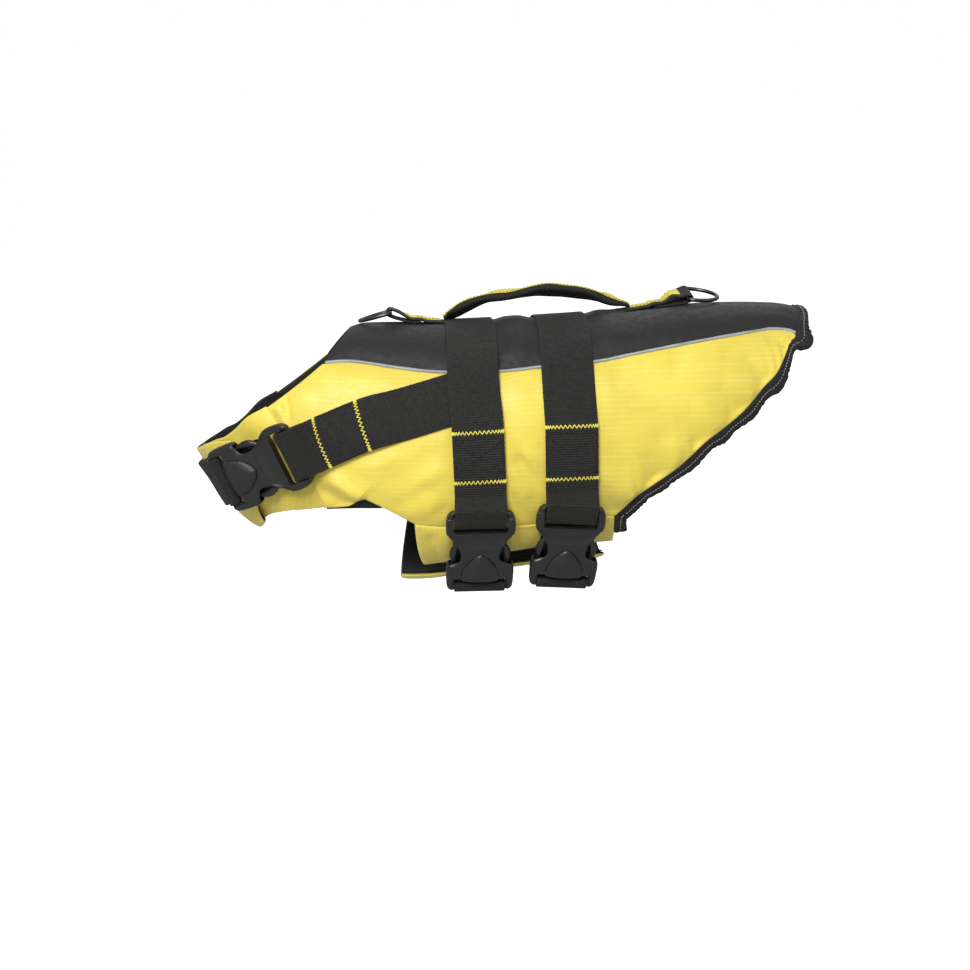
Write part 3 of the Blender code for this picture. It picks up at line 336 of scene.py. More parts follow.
    def top_station(self, x: Grid) -> Grid:
        """Stations of the points of the back's midline at x."""
        stations = np.linspace(0, self.last, 2000)
        return np.interp(x, self.ring_at(stations)[:, 0], stations)

    def belly_station(self, x: float) -> float:
        """Station of the point of the belly's midline at x."""
        stations = np.linspace(0, self.last, 2000)
        return float(np.interp(x, self.ring_at(stations)[:, 2], stations))

    def side_edge(self, points: tuple[Row, ...], count: int) -> Grid:
        """Stations and turns along an edge that is given in the side view."""
        return self.place(curve_through(points, count))

    def shifted(self, edge: Grid, amount: Grid | float) -> Grid:
        """An edge moved by millimetres round the form, away from the back where above 0.

        Args:
            edge: rows of station and turn.
            amount: millimetres, one or one for each row.

        Returns:
            The moved edge.
        """
        step = 1e-3
        reach = np.linalg.norm(self.base(edge[:, 0], edge[:, 1] + step) - self.at(edge),
                               axis=1) / step
        return edge + np.stack([np.zeros(len(edge)), amount / reach], -1)

    def inset(self, grid: Grid, gap: float) -> Grid:
        """The grid drawn in from its four edges by a gap in millimetres, or out if below 0.

        Args:
            grid: rows x columns of station and turn.
            gap: millimetres.

        Returns:
            The changed grid.
        """
        grid = grid.copy()
        for axis in (0, 1):
            grid = np.moveaxis(grid, axis, 0)
            for edge, inner in ((0, 1), (-1, -2)):
                step = self.at(grid[edge]) - self.at(grid[inner])
                share = gap / np.maximum(np.linalg.norm(step, axis=-1), 1e-6)
                share = np.clip(share, -1.2, 0.45)[:, None]
                grid[edge] = grid[edge] * (1 - share) + grid[inner] * share
            grid = np.moveaxis(grid, 0, axis)
        return grid

    def edge_distances(self, grid: Grid) -> Grid:
        """Distance of each point from its piece's first row, last row, first and last column.

        Args:
            grid: rows x columns of station and turn.

        Returns:
            Four grids of millimetres.
        """
        points = self.at(grid)
        found = []
        for axis in (0, 1):
            steps = np.linalg.norm(np.diff(points, axis=axis), axis=-1)
            run = np.insert(np.cumsum(steps, axis=axis), 0, 0, axis=axis)
            total = np.take(run, [-1], axis=axis)
            found += [run, total - run]
        return np.stack(found)

    def cloth_uv(self, grid: Grid) -> Grid:
        """UV in metres: u along the jacket, v down the side from the middle of the flank.

        Args:
            grid: rows x columns of station and turn.

        Returns:
            Rows x columns x 2.
        """
        points = self.at(grid)
        middle = self.base(grid[..., 0], np.full(grid.shape[:2], pi / 2))
        run = np.insert(np.cumsum(np.linalg.norm(np.diff(points, axis=1), axis=-1), axis=1),
                        0, 0, axis=1)
        turn = grid[..., 1]
        nearest = np.argmin(np.abs(turn - pi / 2), axis=1)
        rows = np.arange(len(grid))
        ring = self.ring_at(grid[rows, nearest, 0])
        drop = (turn[rows, nearest] - pi / 2) * 0.5 * (ring[:, 1] - ring[:, 3])
        v = middle[..., 2] - (run - run[rows, nearest][:, None] + drop[:, None])
        u = 0.5 * (points[..., 0] + middle[..., 0])
        return np.stack([u, v], -1) * MM


FORM = BodyForm()


def chain(*edges: Grid) -> Grid:
    """Edges joined end to end, each shared corner once."""
    return np.vstack([edges[0]] + [edge[1:] for edge in edges[1:]])


def between(edge_a: Grid, edge_b: Grid, shares: Grid) -> Grid:
    """Grid of stations and turns ruled between two edges of equal length."""
    shares = np.asarray(shares)[None, :, None]
    return edge_a[:, None, :] * (1 - shares) + edge_b[:, None, :] * shares


def coons(top: Grid, low: Grid, start: Grid, end: Grid) -> Grid:
    """Grid between four edges: the two ruled blends less the plane of the corners.

    Args:
        top: its first row.
        low: its last row.
        start: its first column.
        end: its last column.

    Returns:
        The grid.
    """
    across = np.linspace(0, 1, len(top))[:, None, None]
    down = np.linspace(0, 1, len(start))[None, :, None]
    ruled_down = top[:, None] * (1 - down) + low[:, None] * down
    ruled_across = start[None] * (1 - across) + end[None] * across
    corners = (top[0] * (1 - across) * (1 - down) + top[-1] * across * (1 - down)
               + low[0] * (1 - across) * down + low[-1] * across * down)
    return ruled_down + ruled_across - corners


def close_at_edges(grid: Grid, rims: Row = (0.12, 0.3, 0.6)) -> Grid:
    """The grid with extra rows and columns beside its edges, at shares of the first cell.

    Args:
        grid: rows x columns of station and turn.
        rims: the shares.

    Returns:
        The larger grid.
    """
    for axis in (0, 1):
        grid = np.moveaxis(grid, axis, 0)
        count = len(grid) - 1
        at = np.concatenate([[0], rims, np.arange(1, count), count - np.array(rims)[::-1], [count]])
        low = np.minimum(at.astype(int), count - 1)
        part = (at - low)[:, None, None]
        grid = grid[low] * (1 - part) + grid[low + 1] * part
        grid = np.moveaxis(grid, 0, axis)
    return grid


# ---------------------------------------------------------------- meshes from grids
@dataclass
class Patch:
    """Points in millimetres, quads, each point's UV in metres and each quad's material row."""
    points: Grid
    quads: Grid
    uv: Grid
    surface: Grid

    def facing_out(self) -> "Patch":
        """The patch with its quads turned so that the enclosed volume is positive.

        Returns:
            The patch.
        """
        a, b, c, d = (self.points[self.quads[:, i]] for i in range(4))
        volume = (a * (np.cross(b, c) + np.cross(c, d))).sum()
        if volume < 0:
            self.quads = self.quads[:, ::-1]
        return self


def joined(patches: list[Patch]) -> Patch:
    """Several patches as one, each with its own points.

    Args:
        patches: what to join.

    Returns:
        One patch.
    """
    starts = np.cumsum([0] + [len(patch.points) for patch in patches[:-1]])
    return Patch(np.vstack([patch.points for patch in patches]),
                 np.vstack([patch.quads + start for patch, start in zip(patches, starts)]),
                 np.vstack([patch.uv for patch in patches]),
                 np.concatenate([patch.surface for patch in patches]))


def grid_quads(rows: int, columns: int) -> Grid:
    """Quads of a grid of points that is stored row by row."""
    row, column = np.meshgrid(np.arange(rows - 1), np.arange(columns - 1), indexing="ij")
    first = (row * columns + column).ravel()
    return np.stack([first, first + 1, first + columns + 1, first + columns], -1)


def wall(outer: Grid, inner: Grid, uv: Grid, lining: int = 0) -> Patch:
    """A closed solid between two grids of points, with a rim all round.

    Args:
        outer: rows x columns x 3 points of the face.
        inner: the same number of points of the back.
        uv: rows x columns x 2 coordinates for both.
        lining: material row of the back.

    Returns:
        The closed solid.
    """
    rows, columns = outer.shape[:2]
    count = rows * columns
    face = grid_quads(rows, columns)
    border = np.concatenate([
        np.arange(rows) * columns, (rows - 1) * columns + np.arange(1, columns),
        np.arange(rows - 2, -1, -1) * columns + columns - 1, np.arange(columns - 2, 0, -1)])
    after = np.roll(border, -1)
    rim = np.stack([border, after, after + count, border + count], -1)
    quads = np.vstack([face, face[:, ::-1] + count, rim])
    surface = np.zeros(len(quads), int)
    surface[len(face):2 * len(face)] = lining
    return Patch(np.vstack([outer.reshape(-1, 3), inner.reshape(-1, 3)]), quads,
                 np.vstack([uv.reshape(-1, 2)] * 2), surface).facing_out()


def tube(rings: Grid, uv: Grid | None = None, closed: bool = False) -> Patch:
    """A solid through rings of points.

    An open tube's ends are closed by a ladder of quads from one side of the ring to the
    other, so a ring holds an even number of points.

    Args:
        rings: rings x points x 3.
        uv: coordinates for each point, or none for the run and the way round.
        closed: whether the last ring joins the first.

    Returns:
        The closed solid.
    """
    count, around = rings.shape[:2]
    turns = count if closed else count - 1
    ring, point = np.meshgrid(np.arange(turns), np.arange(around), indexing="ij")
    after, beyond = (point + 1) % around, (ring + 1) % count
    quads = np.stack([ring * around + point, ring * around + after,
                      beyond * around + after, beyond * around + point], -1).reshape(-1, 4)
    if not closed:
        step = np.arange(around // 2 - 1)
        ladder = np.stack([step, step + 1, around - 2 - step, around - 1 - step], -1)
        quads = np.vstack([quads, ladder[:, ::-1], ladder + (count - 1) * around])
    if uv is None:
        run = run_length(rings.mean(1))
        girth = np.linalg.norm(rings[0] - np.roll(rings[0], 1, 0), axis=1).sum()
        u, v = np.meshgrid(np.linspace(0, girth, around), run)
        uv = np.stack([u, v], -1) * MM
    return Patch(rings.reshape(-1, 3), quads, uv.reshape(-1, 2),
                 np.zeros(len(quads), int)).facing_out()


def sweep(path: Grid, radius: Grid | float, sides: int = 8, up: Grid | None = None,
          flatten: float = 1.0) -> Patch:
    """A round thread or cord: a circle carried along a path, square to it.

    Args:
        path: points down the middle.
        radius: one radius, or one for each point.
        sides: points of the circle, an even number.
        up: a direction for each point that the circle's first axis leans to.
        flatten: thickness along up as a share of the width.

    Returns:
        The thread.
    """
    tangent = unit(np.gradient(path, axis=0))
    if up is None:
        up = np.broadcast_to(np.array([0.05, 0.03, 1.0]), path.shape)
    across = unit(np.cross(tangent, up))
    lift = np.cross(across, tangent)
    angle = round_angles(sides)
    size = np.broadcast_to(radius, len(path))[:, None, None]
    rings = path[:, None] + size * (across[:, None] * np.cos(angle)[None, :, None]
                                    + flatten * lift[:, None] * np.sin(angle)[None, :, None])
    return tube(rings)


def grid_normals(grid: Grid) -> Grid:
    """Unit normals of a grid of points: rows' direction crossed with columns' direction."""
    return unit(np.cross(np.gradient(grid, axis=0), np.gradient(grid, axis=1)))


class GridSurface:
    """A face of a made piece that stitches and trims are laid on."""

    def __init__(self, points: Grid, outward: Grid | None = None) -> None:
        """Keep the grid, its outward normals and the run down its middle column.

        Args:
            points: rows x columns x 3 points of the face.
            outward: normals of the same shape, worked out from the grid if None.
        """
        self.points = points
        self.outward = grid_normals(points) if outward is None else outward
        self.run = run_length(points[:, points.shape[1] // 2])

    def at(self, row: Grid, share: Grid, lift: Grid | float = 0.0) -> tuple[Grid, Grid]:
        """Points and normals at fractional rows and shares across, read between grid points.

        Args:
            row: fractional rows.
            share: places across, from 0 to 1.
            lift: millimetres outward.

        Returns:
            Points and normals.
        """
        rows, columns = self.points.shape[:2]
        row = np.clip(row, 0, rows - 1 - 1e-6)
        column = np.clip(np.asarray(share, float) * (columns - 1), 0, columns - 1 - 1e-6)
        i, j = row.astype(int), column.astype(int)
        a, b = (row - i)[..., None], (column - j)[..., None]
        found = []
        for grid in (self.points, self.outward):
            found.append(grid[i, j] * (1 - a) * (1 - b) + grid[i + 1, j] * a * (1 - b)
                         + grid[i, j + 1] * (1 - a) * b + grid[i + 1, j + 1] * a * b)
        normal = unit(found[1])
        return found[0] + normal * np.asarray(lift, float)[..., None], normal


def mesh_of(name: str, patch: Patch) -> bpy.types.Mesh:
    """A smooth mesh in metres from a patch in millimetres.

    Args:
        name: the mesh's name.
        patch: its points, quads, UV and material rows.

    Returns:
        The mesh.
    """
    mesh = bpy.data.meshes.new(name)
    mesh.vertices.add(len(patch.points))
    mesh.vertices.foreach_set("co", (patch.points * MM).astype(np.float32).ravel())
    mesh.loops.add(patch.quads.size)
    mesh.loops.foreach_set("vertex_index", patch.quads.astype(np.int32).ravel())
    mesh.polygons.add(len(patch.quads))
    mesh.polygons.foreach_set("loop_start", np.arange(0, patch.quads.size, 4, dtype=np.int32))
    mesh.polygons.foreach_set("material_index", patch.surface.astype(np.int32))
    layer = mesh.uv_layers.new(name="cloth")
    layer.uv.foreach_set("vector", patch.uv[patch.quads.ravel()].astype(np.float32).ravel())
    mesh.update(calc_edges=True)
    mesh.shade_smooth()
    return mesh


def loose_object(name: str, patch: Patch) -> bpy.types.Object:
    """A helper object for a boolean, removed after its use."""
    made = bpy.data.objects.new(name, mesh_of(name, patch))
    bpy.context.scene.collection.objects.link(made)
    return made


def seat(name: str, mesh: bpy.types.Mesh, surfaces: list[bpy.types.Material], body: str,
         replaces: tuple[str, ...] = ()) -> bpy.types.Object:
    """Make a mesh an object at the origin that rides on a body; arguments as in put."""
    for surface in surfaces:
        mesh.materials.append(surface)
    made = bpy.data.objects.new(name, mesh)
    bpy.context.scene.collection.objects.link(made)
    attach(made, body)
    if replaces:
        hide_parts(*replaces)
    LOG.info("%s: %d faces", name, len(mesh.polygons))
    return made


def put(name: str, patch: Patch, surfaces: list[bpy.types.Material], body: str,
        replaces: tuple[str, ...] = ()) -> bpy.types.Object:
    """Make the patch an object that rides on a body.

    Args:
        name: the new object's name.
        patch: its points, quads, UV and material rows.
        surfaces: its materials.
        body: the CAD body that it moves with.
        replaces: CAD nodes that it stands for.

    Returns:
        The object, at the origin.
    """
    return seat(name, mesh_of(name, patch), surfaces, body, replaces)


# ---------------------------------------------------------------- finishes
class Wiring:
    """Places nodes in a tree and links them."""

    def __init__(self, tree: bpy.types.NodeTree) -> None:
        """Start from the tree to fill."""
        self.tree = tree

    def add(self, kind: str, inputs: dict | None = None, **settings: object) -> bpy.types.Node:
        """Add a node.

        Args:
            kind: the node's type name.
            inputs: values or source sockets by input name or number.
            settings: attributes of the node.

        Returns:
            The node.
        """
        node = self.tree.nodes.new(kind)
        for key, value in settings.items():
            setattr(node, key, value)
        for key, value in (inputs or {}).items():
            if isinstance(value, bpy.types.NodeSocket):
                self.tree.links.new(value, node.inputs[key])
            else:
                node.inputs[key].default_value = value
        return node

    def math(self, operation: str, a: object, b: object = 0.0, c: object = 0.0
             ) -> bpy.types.NodeSocket:
        """A Math node's result for up to three values or sockets."""
        return self.add("ShaderNodeMath", {0: a, 1: b, 2: c}, operation=operation).outputs[0]

    def ramp(self, value: object, low: float, high: float, to_low: float = 0.0,
             to_high: float = 1.0) -> bpy.types.NodeSocket:
        """A smooth ramp of a value from one range to another."""
        return self.add("ShaderNodeMapRange", {0: value, 1: low, 2: high, 3: to_low, 4: to_high},
                        interpolation_type="SMOOTHSTEP").outputs[0]

    def mix(self, share: object, first: object, second: object) -> bpy.types.NodeSocket:
        """Two colours mixed by a share.

        Args:
            share: socket or number.
            first: colour at 0.
            second: colour at 1.

        Returns:
            The mixed colour.
        """
        node = self.add("ShaderNodeMix", data_type="RGBA")
        for index, value in ((0, share), (6, first), (7, second)):
            if isinstance(value, bpy.types.NodeSocket):
                self.tree.links.new(value, node.inputs[index])
            else:
                node.inputs[index].default_value = value
        return node.outputs[2]


class Effect(Enum):
    """Shared effects, each built once as a node group."""
    WEAVE = "weave"
    RIPSTOP = "ripstop"
    RIB = "rib"
    CLOUD = "cloud"


def effect_group(effect: Effect) -> bpy.types.NodeTree:
    """The node group of an effect, made at its first use.

    Args:
        effect: the effect that it holds.

    Returns:
        The group.
    """
    found = bpy.data.node_groups.get(effect.value)
    if found:
        return found
    tree = bpy.data.node_groups.new(effect.value, "ShaderNodeTree")
    sockets = {
        Effect.WEAVE: (("Pitch",), ("Height",)),
        Effect.RIPSTOP: (("Pitch", "Line"), ("Along", "Down")),
        Effect.RIB: (("Pitch", "Column"), ("Rib", "Columns")),
        Effect.CLOUD: (("Size",), ("Cloud", "Fine")),
    }[effect]
    tree.interface.new_socket("Vector", in_out="INPUT", socket_type="NodeSocketVector")
    for name in sockets[0]:
        tree.interface.new_socket(name, in_out="INPUT", socket_type="NodeSocketFloat")
    for name in sockets[1]:
        tree.interface.new_socket(name, in_out="OUTPUT", socket_type="NodeSocketFloat")
    wire = Wiring(tree)
    source = wire.add("NodeGroupInput")
    target = wire.add("NodeGroupOutput")
    {Effect.WEAVE: fill_weave, Effect.RIPSTOP: fill_ripstop, Effect.RIB: fill_rib,
     Effect.CLOUD: fill_cloud}[effect](wire, source, target)
    return tree


def wave(wire: Wiring, value: object, pitch: object) -> bpy.types.NodeSocket:
    """Sine of a coordinate, one period each pitch, from 0 to 1."""
    turns = wire.math("DIVIDE", value, pitch)
    turning = wire.math("MULTIPLY", turns, 2 * pi)
    return wire.math("MULTIPLY_ADD", wire.math("SINE", turning), 0.5, 0.5)


def fill_weave(wire: Wiring, source: bpy.types.Node, target: bpy.types.Node) -> None:
    """Plain weave: warp and weft cross over and under, the product of two waves.

    Args:
        wire: wiring of the group's tree.
        source: the group's input node.
        target: its output node.
    """
    split = wire.add("ShaderNodeSeparateXYZ", {0: source.outputs["Vector"]})
    across = wave(wire, split.outputs[0], source.outputs["Pitch"])
    down = wave(wire, split.outputs[1], source.outputs["Pitch"])
    wire.tree.links.new(wire.math("MULTIPLY", across, down), target.inputs["Height"])


def fill_ripstop(wire: Wiring, source: bpy.types.Node, target: bpy.types.Node) -> None:
    """Thick yarns in both directions: near 1 within a line's width of each multiple of the pitch.

    A slow noise along each yarn makes it stronger and weaker, which breaks the ripstop's painted
    glint into streaks.

    Args:
        wire: wiring of the group's tree.
        source: the group's input node.
        target: its output node.
    """
    split = wire.add("ShaderNodeSeparateXYZ", {0: source.outputs["Vector"]})
    half = wire.math("MULTIPLY", source.outputs["Pitch"], 0.5)
    for axis, name, stretch in ((1, "Along", (30.0, 260.0, 0.0)), (0, "Down", (260.0, 30.0, 0.0))):
        gap = wire.math("PINGPONG", split.outputs[axis], half)
        line = wire.math("SUBTRACT", 1.0, wire.math("DIVIDE", gap, source.outputs["Line"]))
        line = wire.math("MAXIMUM", line, 0.0)
        spread = wire.add("ShaderNodeVectorMath", {0: source.outputs["Vector"], 1: stretch},
                          operation="MULTIPLY")
        noise = wire.add("ShaderNodeTexNoise", {"Vector": spread.outputs[0], "Scale": 1.0,
                                                "Detail": 1.0})
        strength = wire.ramp(noise.outputs[0], 0.36, 0.66, 0.1, 1.0)
        wire.tree.links.new(wire.math("MULTIPLY", line, strength), target.inputs[name])


def fill_rib(wire: Wiring, source: bpy.types.Node, target: bpy.types.Node) -> None:
    """Ribs across a strap and finer columns along it, from its UV.

    Args:
        wire: wiring of the group's tree.
        source: the group's input node.
        target: its output node.
    """
    split = wire.add("ShaderNodeSeparateXYZ", {0: source.outputs["Vector"]})
    rib = wave(wire, split.outputs[1], source.outputs["Pitch"])
    column = wave(wire, split.outputs[0], source.outputs["Column"])
    wire.tree.links.new(wire.math("POWER", rib, 0.7), target.inputs["Rib"])
    wire.tree.links.new(column, target.inputs["Columns"])


def fill_cloud(wire: Wiring, source: bpy.types.Node, target: bpy.types.Node) -> None:
    """Broad and fine unevenness: noise at the size and at a twelfth of it.

    Args:
        wire: wiring of the group's tree.
        source: the group's input node.
        target: its output node.
    """
    scale = wire.math("DIVIDE", 1.0, source.outputs["Size"])
    for name, factor, detail in (("Cloud", 1.0, 3.0), ("Fine", 12.0, 2.0)):
        noise = wire.add("ShaderNodeTexNoise", {
            "Vector": source.outputs["Vector"], "Scale": wire.math("MULTIPLY", scale, factor),
            "Detail": detail})
        wire.tree.links.new(noise.outputs[0], target.inputs[name])


class Finish:
    """Starts a material: its shader, its wiring and its coordinates."""

    def __init__(self, name: str, roughness: float, **constants: object) -> None:
        """Make the material with a Principled shader.

        Args:
            name: the material's name.
            roughness: the shader's roughness.
            constants: further shader inputs, underscores standing for spaces.
        """
        self.made = bpy.data.materials.new(name)
        self.made.use_nodes = True
        self.wire = Wiring(self.made.node_tree)
        self.shader = self.made.node_tree.nodes["Principled BSDF"]
        self.shader.inputs["Roughness"].default_value = roughness
        for key, value in constants.items():
            self.shader.inputs[key.replace("_", " ")].default_value = value
        self.uv = self.wire.add("ShaderNodeUVMap", uv_map="cloth").outputs[0]
        self.place = self.wire.add("ShaderNodeTexCoord").outputs["Object"]

    def effect(self, effect: Effect, vector: bpy.types.NodeSocket, **values: float
               ) -> bpy.types.Node:
        """Place a shared effect with its own values.

        Args:
            effect: the effect.
            vector: coordinates that it follows.
            values: values of its other inputs.

        Returns:
            Its node.
        """
        node = self.wire.add("ShaderNodeGroup", node_tree=effect_group(effect))
        self.made.node_tree.links.new(vector, node.inputs["Vector"])
        for key, value in values.items():
            node.inputs[key].default_value = value
        return node

    def feed(self, name: str, socket: bpy.types.NodeSocket) -> None:
        """Link a socket to one of the shader's inputs."""
        self.made.node_tree.links.new(socket, self.shader.inputs[name])

    def mottle(self, cloud: bpy.types.Node, colour: Row, dark: float, light: float,
               low: float = 0.3, high: float = 0.7) -> bpy.types.NodeSocket:
        """A colour that wanders between a darker and a lighter shade of itself with a cloud."""
        return self.wire.mix(self.wire.ramp(cloud.outputs["Cloud"], low, high),
                             shade(colour, dark), shade(colour, light))

    def roughen(self, value: bpy.types.NodeSocket, least: float, most: float,
                low: float = 0.3, high: float = 0.7) -> None:
        """Let the roughness wander between two values."""
        self.feed("Roughness", self.wire.ramp(value, low, high, least, most))

    def bump(self, steps: tuple[tuple[bpy.types.NodeSocket, float, float], ...]) -> None:
        """Chain bumps onto the shader's normal.

        Args:
            steps: for each, the height socket, its depth in metres and its strength.
        """
        normal = None
        for height, depth, strength in steps:
            node = self.wire.add("ShaderNodeBump", {"Height": height, "Distance": depth,
                                                    "Strength": strength})
            if normal is not None:
                self.made.node_tree.links.new(normal, node.inputs["Normal"])
            normal = node.outputs[0]
        self.feed("Normal", normal)


def shade(colour: Row, factor: float) -> Row:
    """A colour made lighter or darker, with alpha."""
    return tuple(min(1.0, part * factor) for part in colour[:3]) + (1.0,)


@dataclass(frozen=True)
class Ripstop:
    """Yellow ripstop: a fine plain weave with thicker yarns both ways, painted paler as a glint
    that is strong along the cloth and faint down it.
    """
    colour: Row = (0.84, 0.675, 0.082)
    pitch: float = 0.0041
    line: float = 0.0008
    weave: float = 0.00045
    along: float = 1.0
    down: float = 0.22
    cloud: float = 0.05
    yarn: float = 0.36
    glint: Row = (0.95, 0.83, 0.33, 1.0)

    def make(self, name: str) -> bpy.types.Material:
        """Build the material.

        Args:
            name: the material's name.

        Returns:
            The material.
        """
        look = Finish(name, 0.45, Sheen_Weight=0.3, Sheen_Roughness=0.45, Specular_IOR_Level=0.5)
        wire = look.wire
        grid = look.effect(Effect.RIPSTOP, look.uv, Pitch=self.pitch, Line=self.line)
        weave = look.effect(Effect.WEAVE, look.uv, Pitch=self.weave)
        cloud = look.effect(Effect.CLOUD, look.place, Size=self.cloud)
        tinted = look.mottle(cloud, self.colour, 0.93, 1.05, 0.35, 0.65)
        # Painted glint: the thick yarns mix the cloth toward a paler yellow, strong along and faint
        # down; the same lines also raise a bump.
        along = wire.math("MULTIPLY", grid.outputs["Along"], self.yarn * self.along)
        down = wire.math("MULTIPLY", grid.outputs["Down"], self.yarn * self.down)
        lines = wire.math("MAXIMUM", along, down)
        look.feed("Base Color", wire.mix(lines, tinted, self.glint))
        look.roughen(cloud.outputs["Fine"], 0.4, 0.52)
        look.bump(((cloud.outputs["Cloud"], 0.0009, 0.5), (lines, 0.00016, 0.8),
                   (cloud.outputs["Fine"], 0.0004, 0.35), (weave.outputs["Height"], 0.00005, 0.5)))
        return look.made


@dataclass(frozen=True)
class WovenBlack:
    """Black woven cloth of the back panel, the lining and the facings, the crests of its weave
    painted paler as a highlight.
    """
    colour: Row = (0.0088, 0.0088, 0.0096)
    weave: float = 0.0007
    roughness: float = 0.62
    cloud: float = 0.06
    thread: float = 0.5
    glint: float = 1.7

    def make(self, name: str) -> bpy.types.Material:
        """Build the material.

        Args:
            name: the material's name.

        Returns:
            The material.
        """
        look = Finish(name, self.roughness, Sheen_Weight=0.06, Sheen_Roughness=0.4)
        wire = look.wire
        weave = look.effect(Effect.WEAVE, look.uv, Pitch=self.weave)
        cloud = look.effect(Effect.CLOUD, look.place, Size=self.cloud)
        tinted = look.mottle(cloud, self.colour, 0.85, 1.2)
        # Painted highlight: the weave's crests are painted paler.
        painted_thread_glint = wire.math("MULTIPLY", weave.outputs["Height"], self.thread)
        look.feed("Base Color", wire.mix(painted_thread_glint, tinted, shade(self.colour, self.glint)))
        look.roughen(cloud.outputs["Fine"], self.roughness - 0.06, self.roughness + 0.08)
        look.bump(((cloud.outputs["Cloud"], 0.0008, 0.5), (cloud.outputs["Fine"], 0.0003, 0.4),
                   (weave.outputs["Height"], 0.00009, 0.6)))
        return look.made


@dataclass(frozen=True)
class WebbingFinish:
    """Woven strap: ribs across, fine columns along, paler selvedges; the ribs' crests are painted
    lighter and their troughs darker, as painted highlight and shade.
    """
    colour: Row = (0.0108, 0.0104, 0.0094)
    rib: float = 0.0018
    column: float = 0.0011
    width: float = 0.038
    rib_depth: float = 0.00034
    rib_shading: float = 0.95
    cloud: float = 0.03
    selvedge: float = 0.44
    # Shades of the colour for the painted shade in the ribs' troughs and the painted highlight on
    # their crests.
    dark: float = 0.62
    light: float = 2.1
    selvedge_pale: float = 2.6
    selvedge_paling: float = 0.35

    def make(self, name: str) -> bpy.types.Material:
        """Build the material.

        Args:
            name: the material's name.

        Returns:
            The material.
        """
        look = Finish(name, 0.72, Sheen_Weight=0.04, Sheen_Roughness=0.5,
                      Specular_IOR_Level=0.35)
        wire = look.wire
        rib = look.effect(Effect.RIB, look.uv, Pitch=self.rib, Column=self.column)
        cloud = look.effect(Effect.CLOUD, look.place, Size=self.cloud)
        split = wire.add("ShaderNodeSeparateXYZ", {0: look.uv})
        edge = wire.ramp(wire.math("ABSOLUTE", split.outputs[0]), self.width * self.selvedge,
                         self.width * 0.5)
        yarn = wire.math("MULTIPLY", rib.outputs["Rib"], wire.math(
            "MULTIPLY_ADD", rib.outputs["Columns"], 0.5, 0.5))
        tinted = look.mottle(cloud, self.colour, 0.85, 1.25)
        # Painted light on the ribs: their crests are painted lighter and their troughs darker.
        painted_rib_light = wire.mix(wire.math("MULTIPLY", yarn, self.rib_shading), shade(self.colour, self.dark),
                       shade(self.colour, self.light))
        both = wire.mix(0.6, tinted, painted_rib_light)
        # Paler toward both selvedges.
        look.feed("Base Color", wire.mix(wire.math("MULTIPLY", edge, self.selvedge_paling), both,
                                         shade(self.colour, self.selvedge_pale)))
        look.roughen(cloud.outputs["Fine"], 0.62, 0.8)
        look.bump(((rib.outputs["Rib"], self.rib_depth, 0.9),
                   (rib.outputs["Columns"], 0.00008, 0.6), (cloud.outputs["Fine"], 0.0002, 0.3)))
        return look.made


@dataclass(frozen=True)
class Moulded:
    """Moulded plastic with a fine matt texture and faint rubbed places."""
    colour: Row = (0.0125, 0.0132, 0.0125)
    roughness: float = 0.4
    cloud: float = 0.012
    grain: float = 0.0035

    def make(self, name: str) -> bpy.types.Material:
        """Build the material.

        Args:
            name: the material's name.

        Returns:
            The material.
        """
        look = Finish(name, self.roughness, Specular_IOR_Level=0.55)
        cloud = look.effect(Effect.CLOUD, look.place, Size=self.cloud)
        grain = look.effect(Effect.CLOUD, look.place, Size=self.grain)
        look.feed("Base Color", look.mottle(cloud, self.colour, 0.9, 1.15))
        look.roughen(cloud.outputs["Cloud"], self.roughness - 0.05, self.roughness + 0.1, 0.35)
        look.bump(((grain.outputs["Fine"], 0.00004, 0.5),))
        return look.made


@dataclass(frozen=True)
class PlainCord:
    """Thread, tape or piping: a tint with fine twist whose crests are painted paler as a highlight,
    optionally shiny.
    """
    colour: Row
    roughness: float = 0.6
    metallic: float = 0.0
    pitch: float = 0.0009
    depth: float = 0.00012
    sheen: float = 0.05
    cloud: float = 0.02
    # share of the painted highlight on the twist's crests
    twist: float = 0.3
    glint: float = 1.25

    def make(self, name: str) -> bpy.types.Material:
        """Build the material.

        Args:
            name: the material's name.

        Returns:
            The material.
        """
        look = Finish(name, self.roughness, Metallic=self.metallic, Sheen_Weight=self.sheen,
                      Sheen_Roughness=0.4)
        wire = look.wire
        weave = look.effect(Effect.RIB, look.uv, Pitch=self.pitch, Column=self.pitch * 1.4)
        cloud = look.effect(Effect.CLOUD, look.place, Size=self.cloud)
        tinted = look.mottle(cloud, self.colour, 0.86, 1.1)
        # Painted highlight: the twist's crests are painted paler.
        look.feed("Base Color", wire.mix(wire.math("MULTIPLY", weave.outputs["Rib"], self.twist),
                                         tinted, shade(self.colour, self.glint)))
        look.roughen(cloud.outputs["Fine"], self.roughness - 0.06, self.roughness + 0.08)
        look.bump(((weave.outputs["Rib"], self.depth, 0.7), (cloud.outputs["Fine"], 0.0002, 0.3)))
        return look.made


@dataclass(frozen=True)
class Steel:
    """Dark plated steel with fine scratches."""
    colour: Row = (0.10, 0.10, 0.105)
    roughness: float = 0.26
    cloud: float = 0.008

    def make(self, name: str) -> bpy.types.Material:
        """Build the material.

        Args:
            name: the material's name.

        Returns:
            The material.
        """
        look = Finish(name, self.roughness, Metallic=1.0)
        cloud = look.effect(Effect.CLOUD, look.place, Size=self.cloud)
        look.feed("Base Color", look.mottle(cloud, self.colour, 0.8, 1.3))
        look.roughen(cloud.outputs["Fine"], self.roughness - 0.06, self.roughness + 0.16, 0.3,
                     0.75)
        look.bump(((cloud.outputs["Fine"], 0.00003, 0.4),))
        return look.made


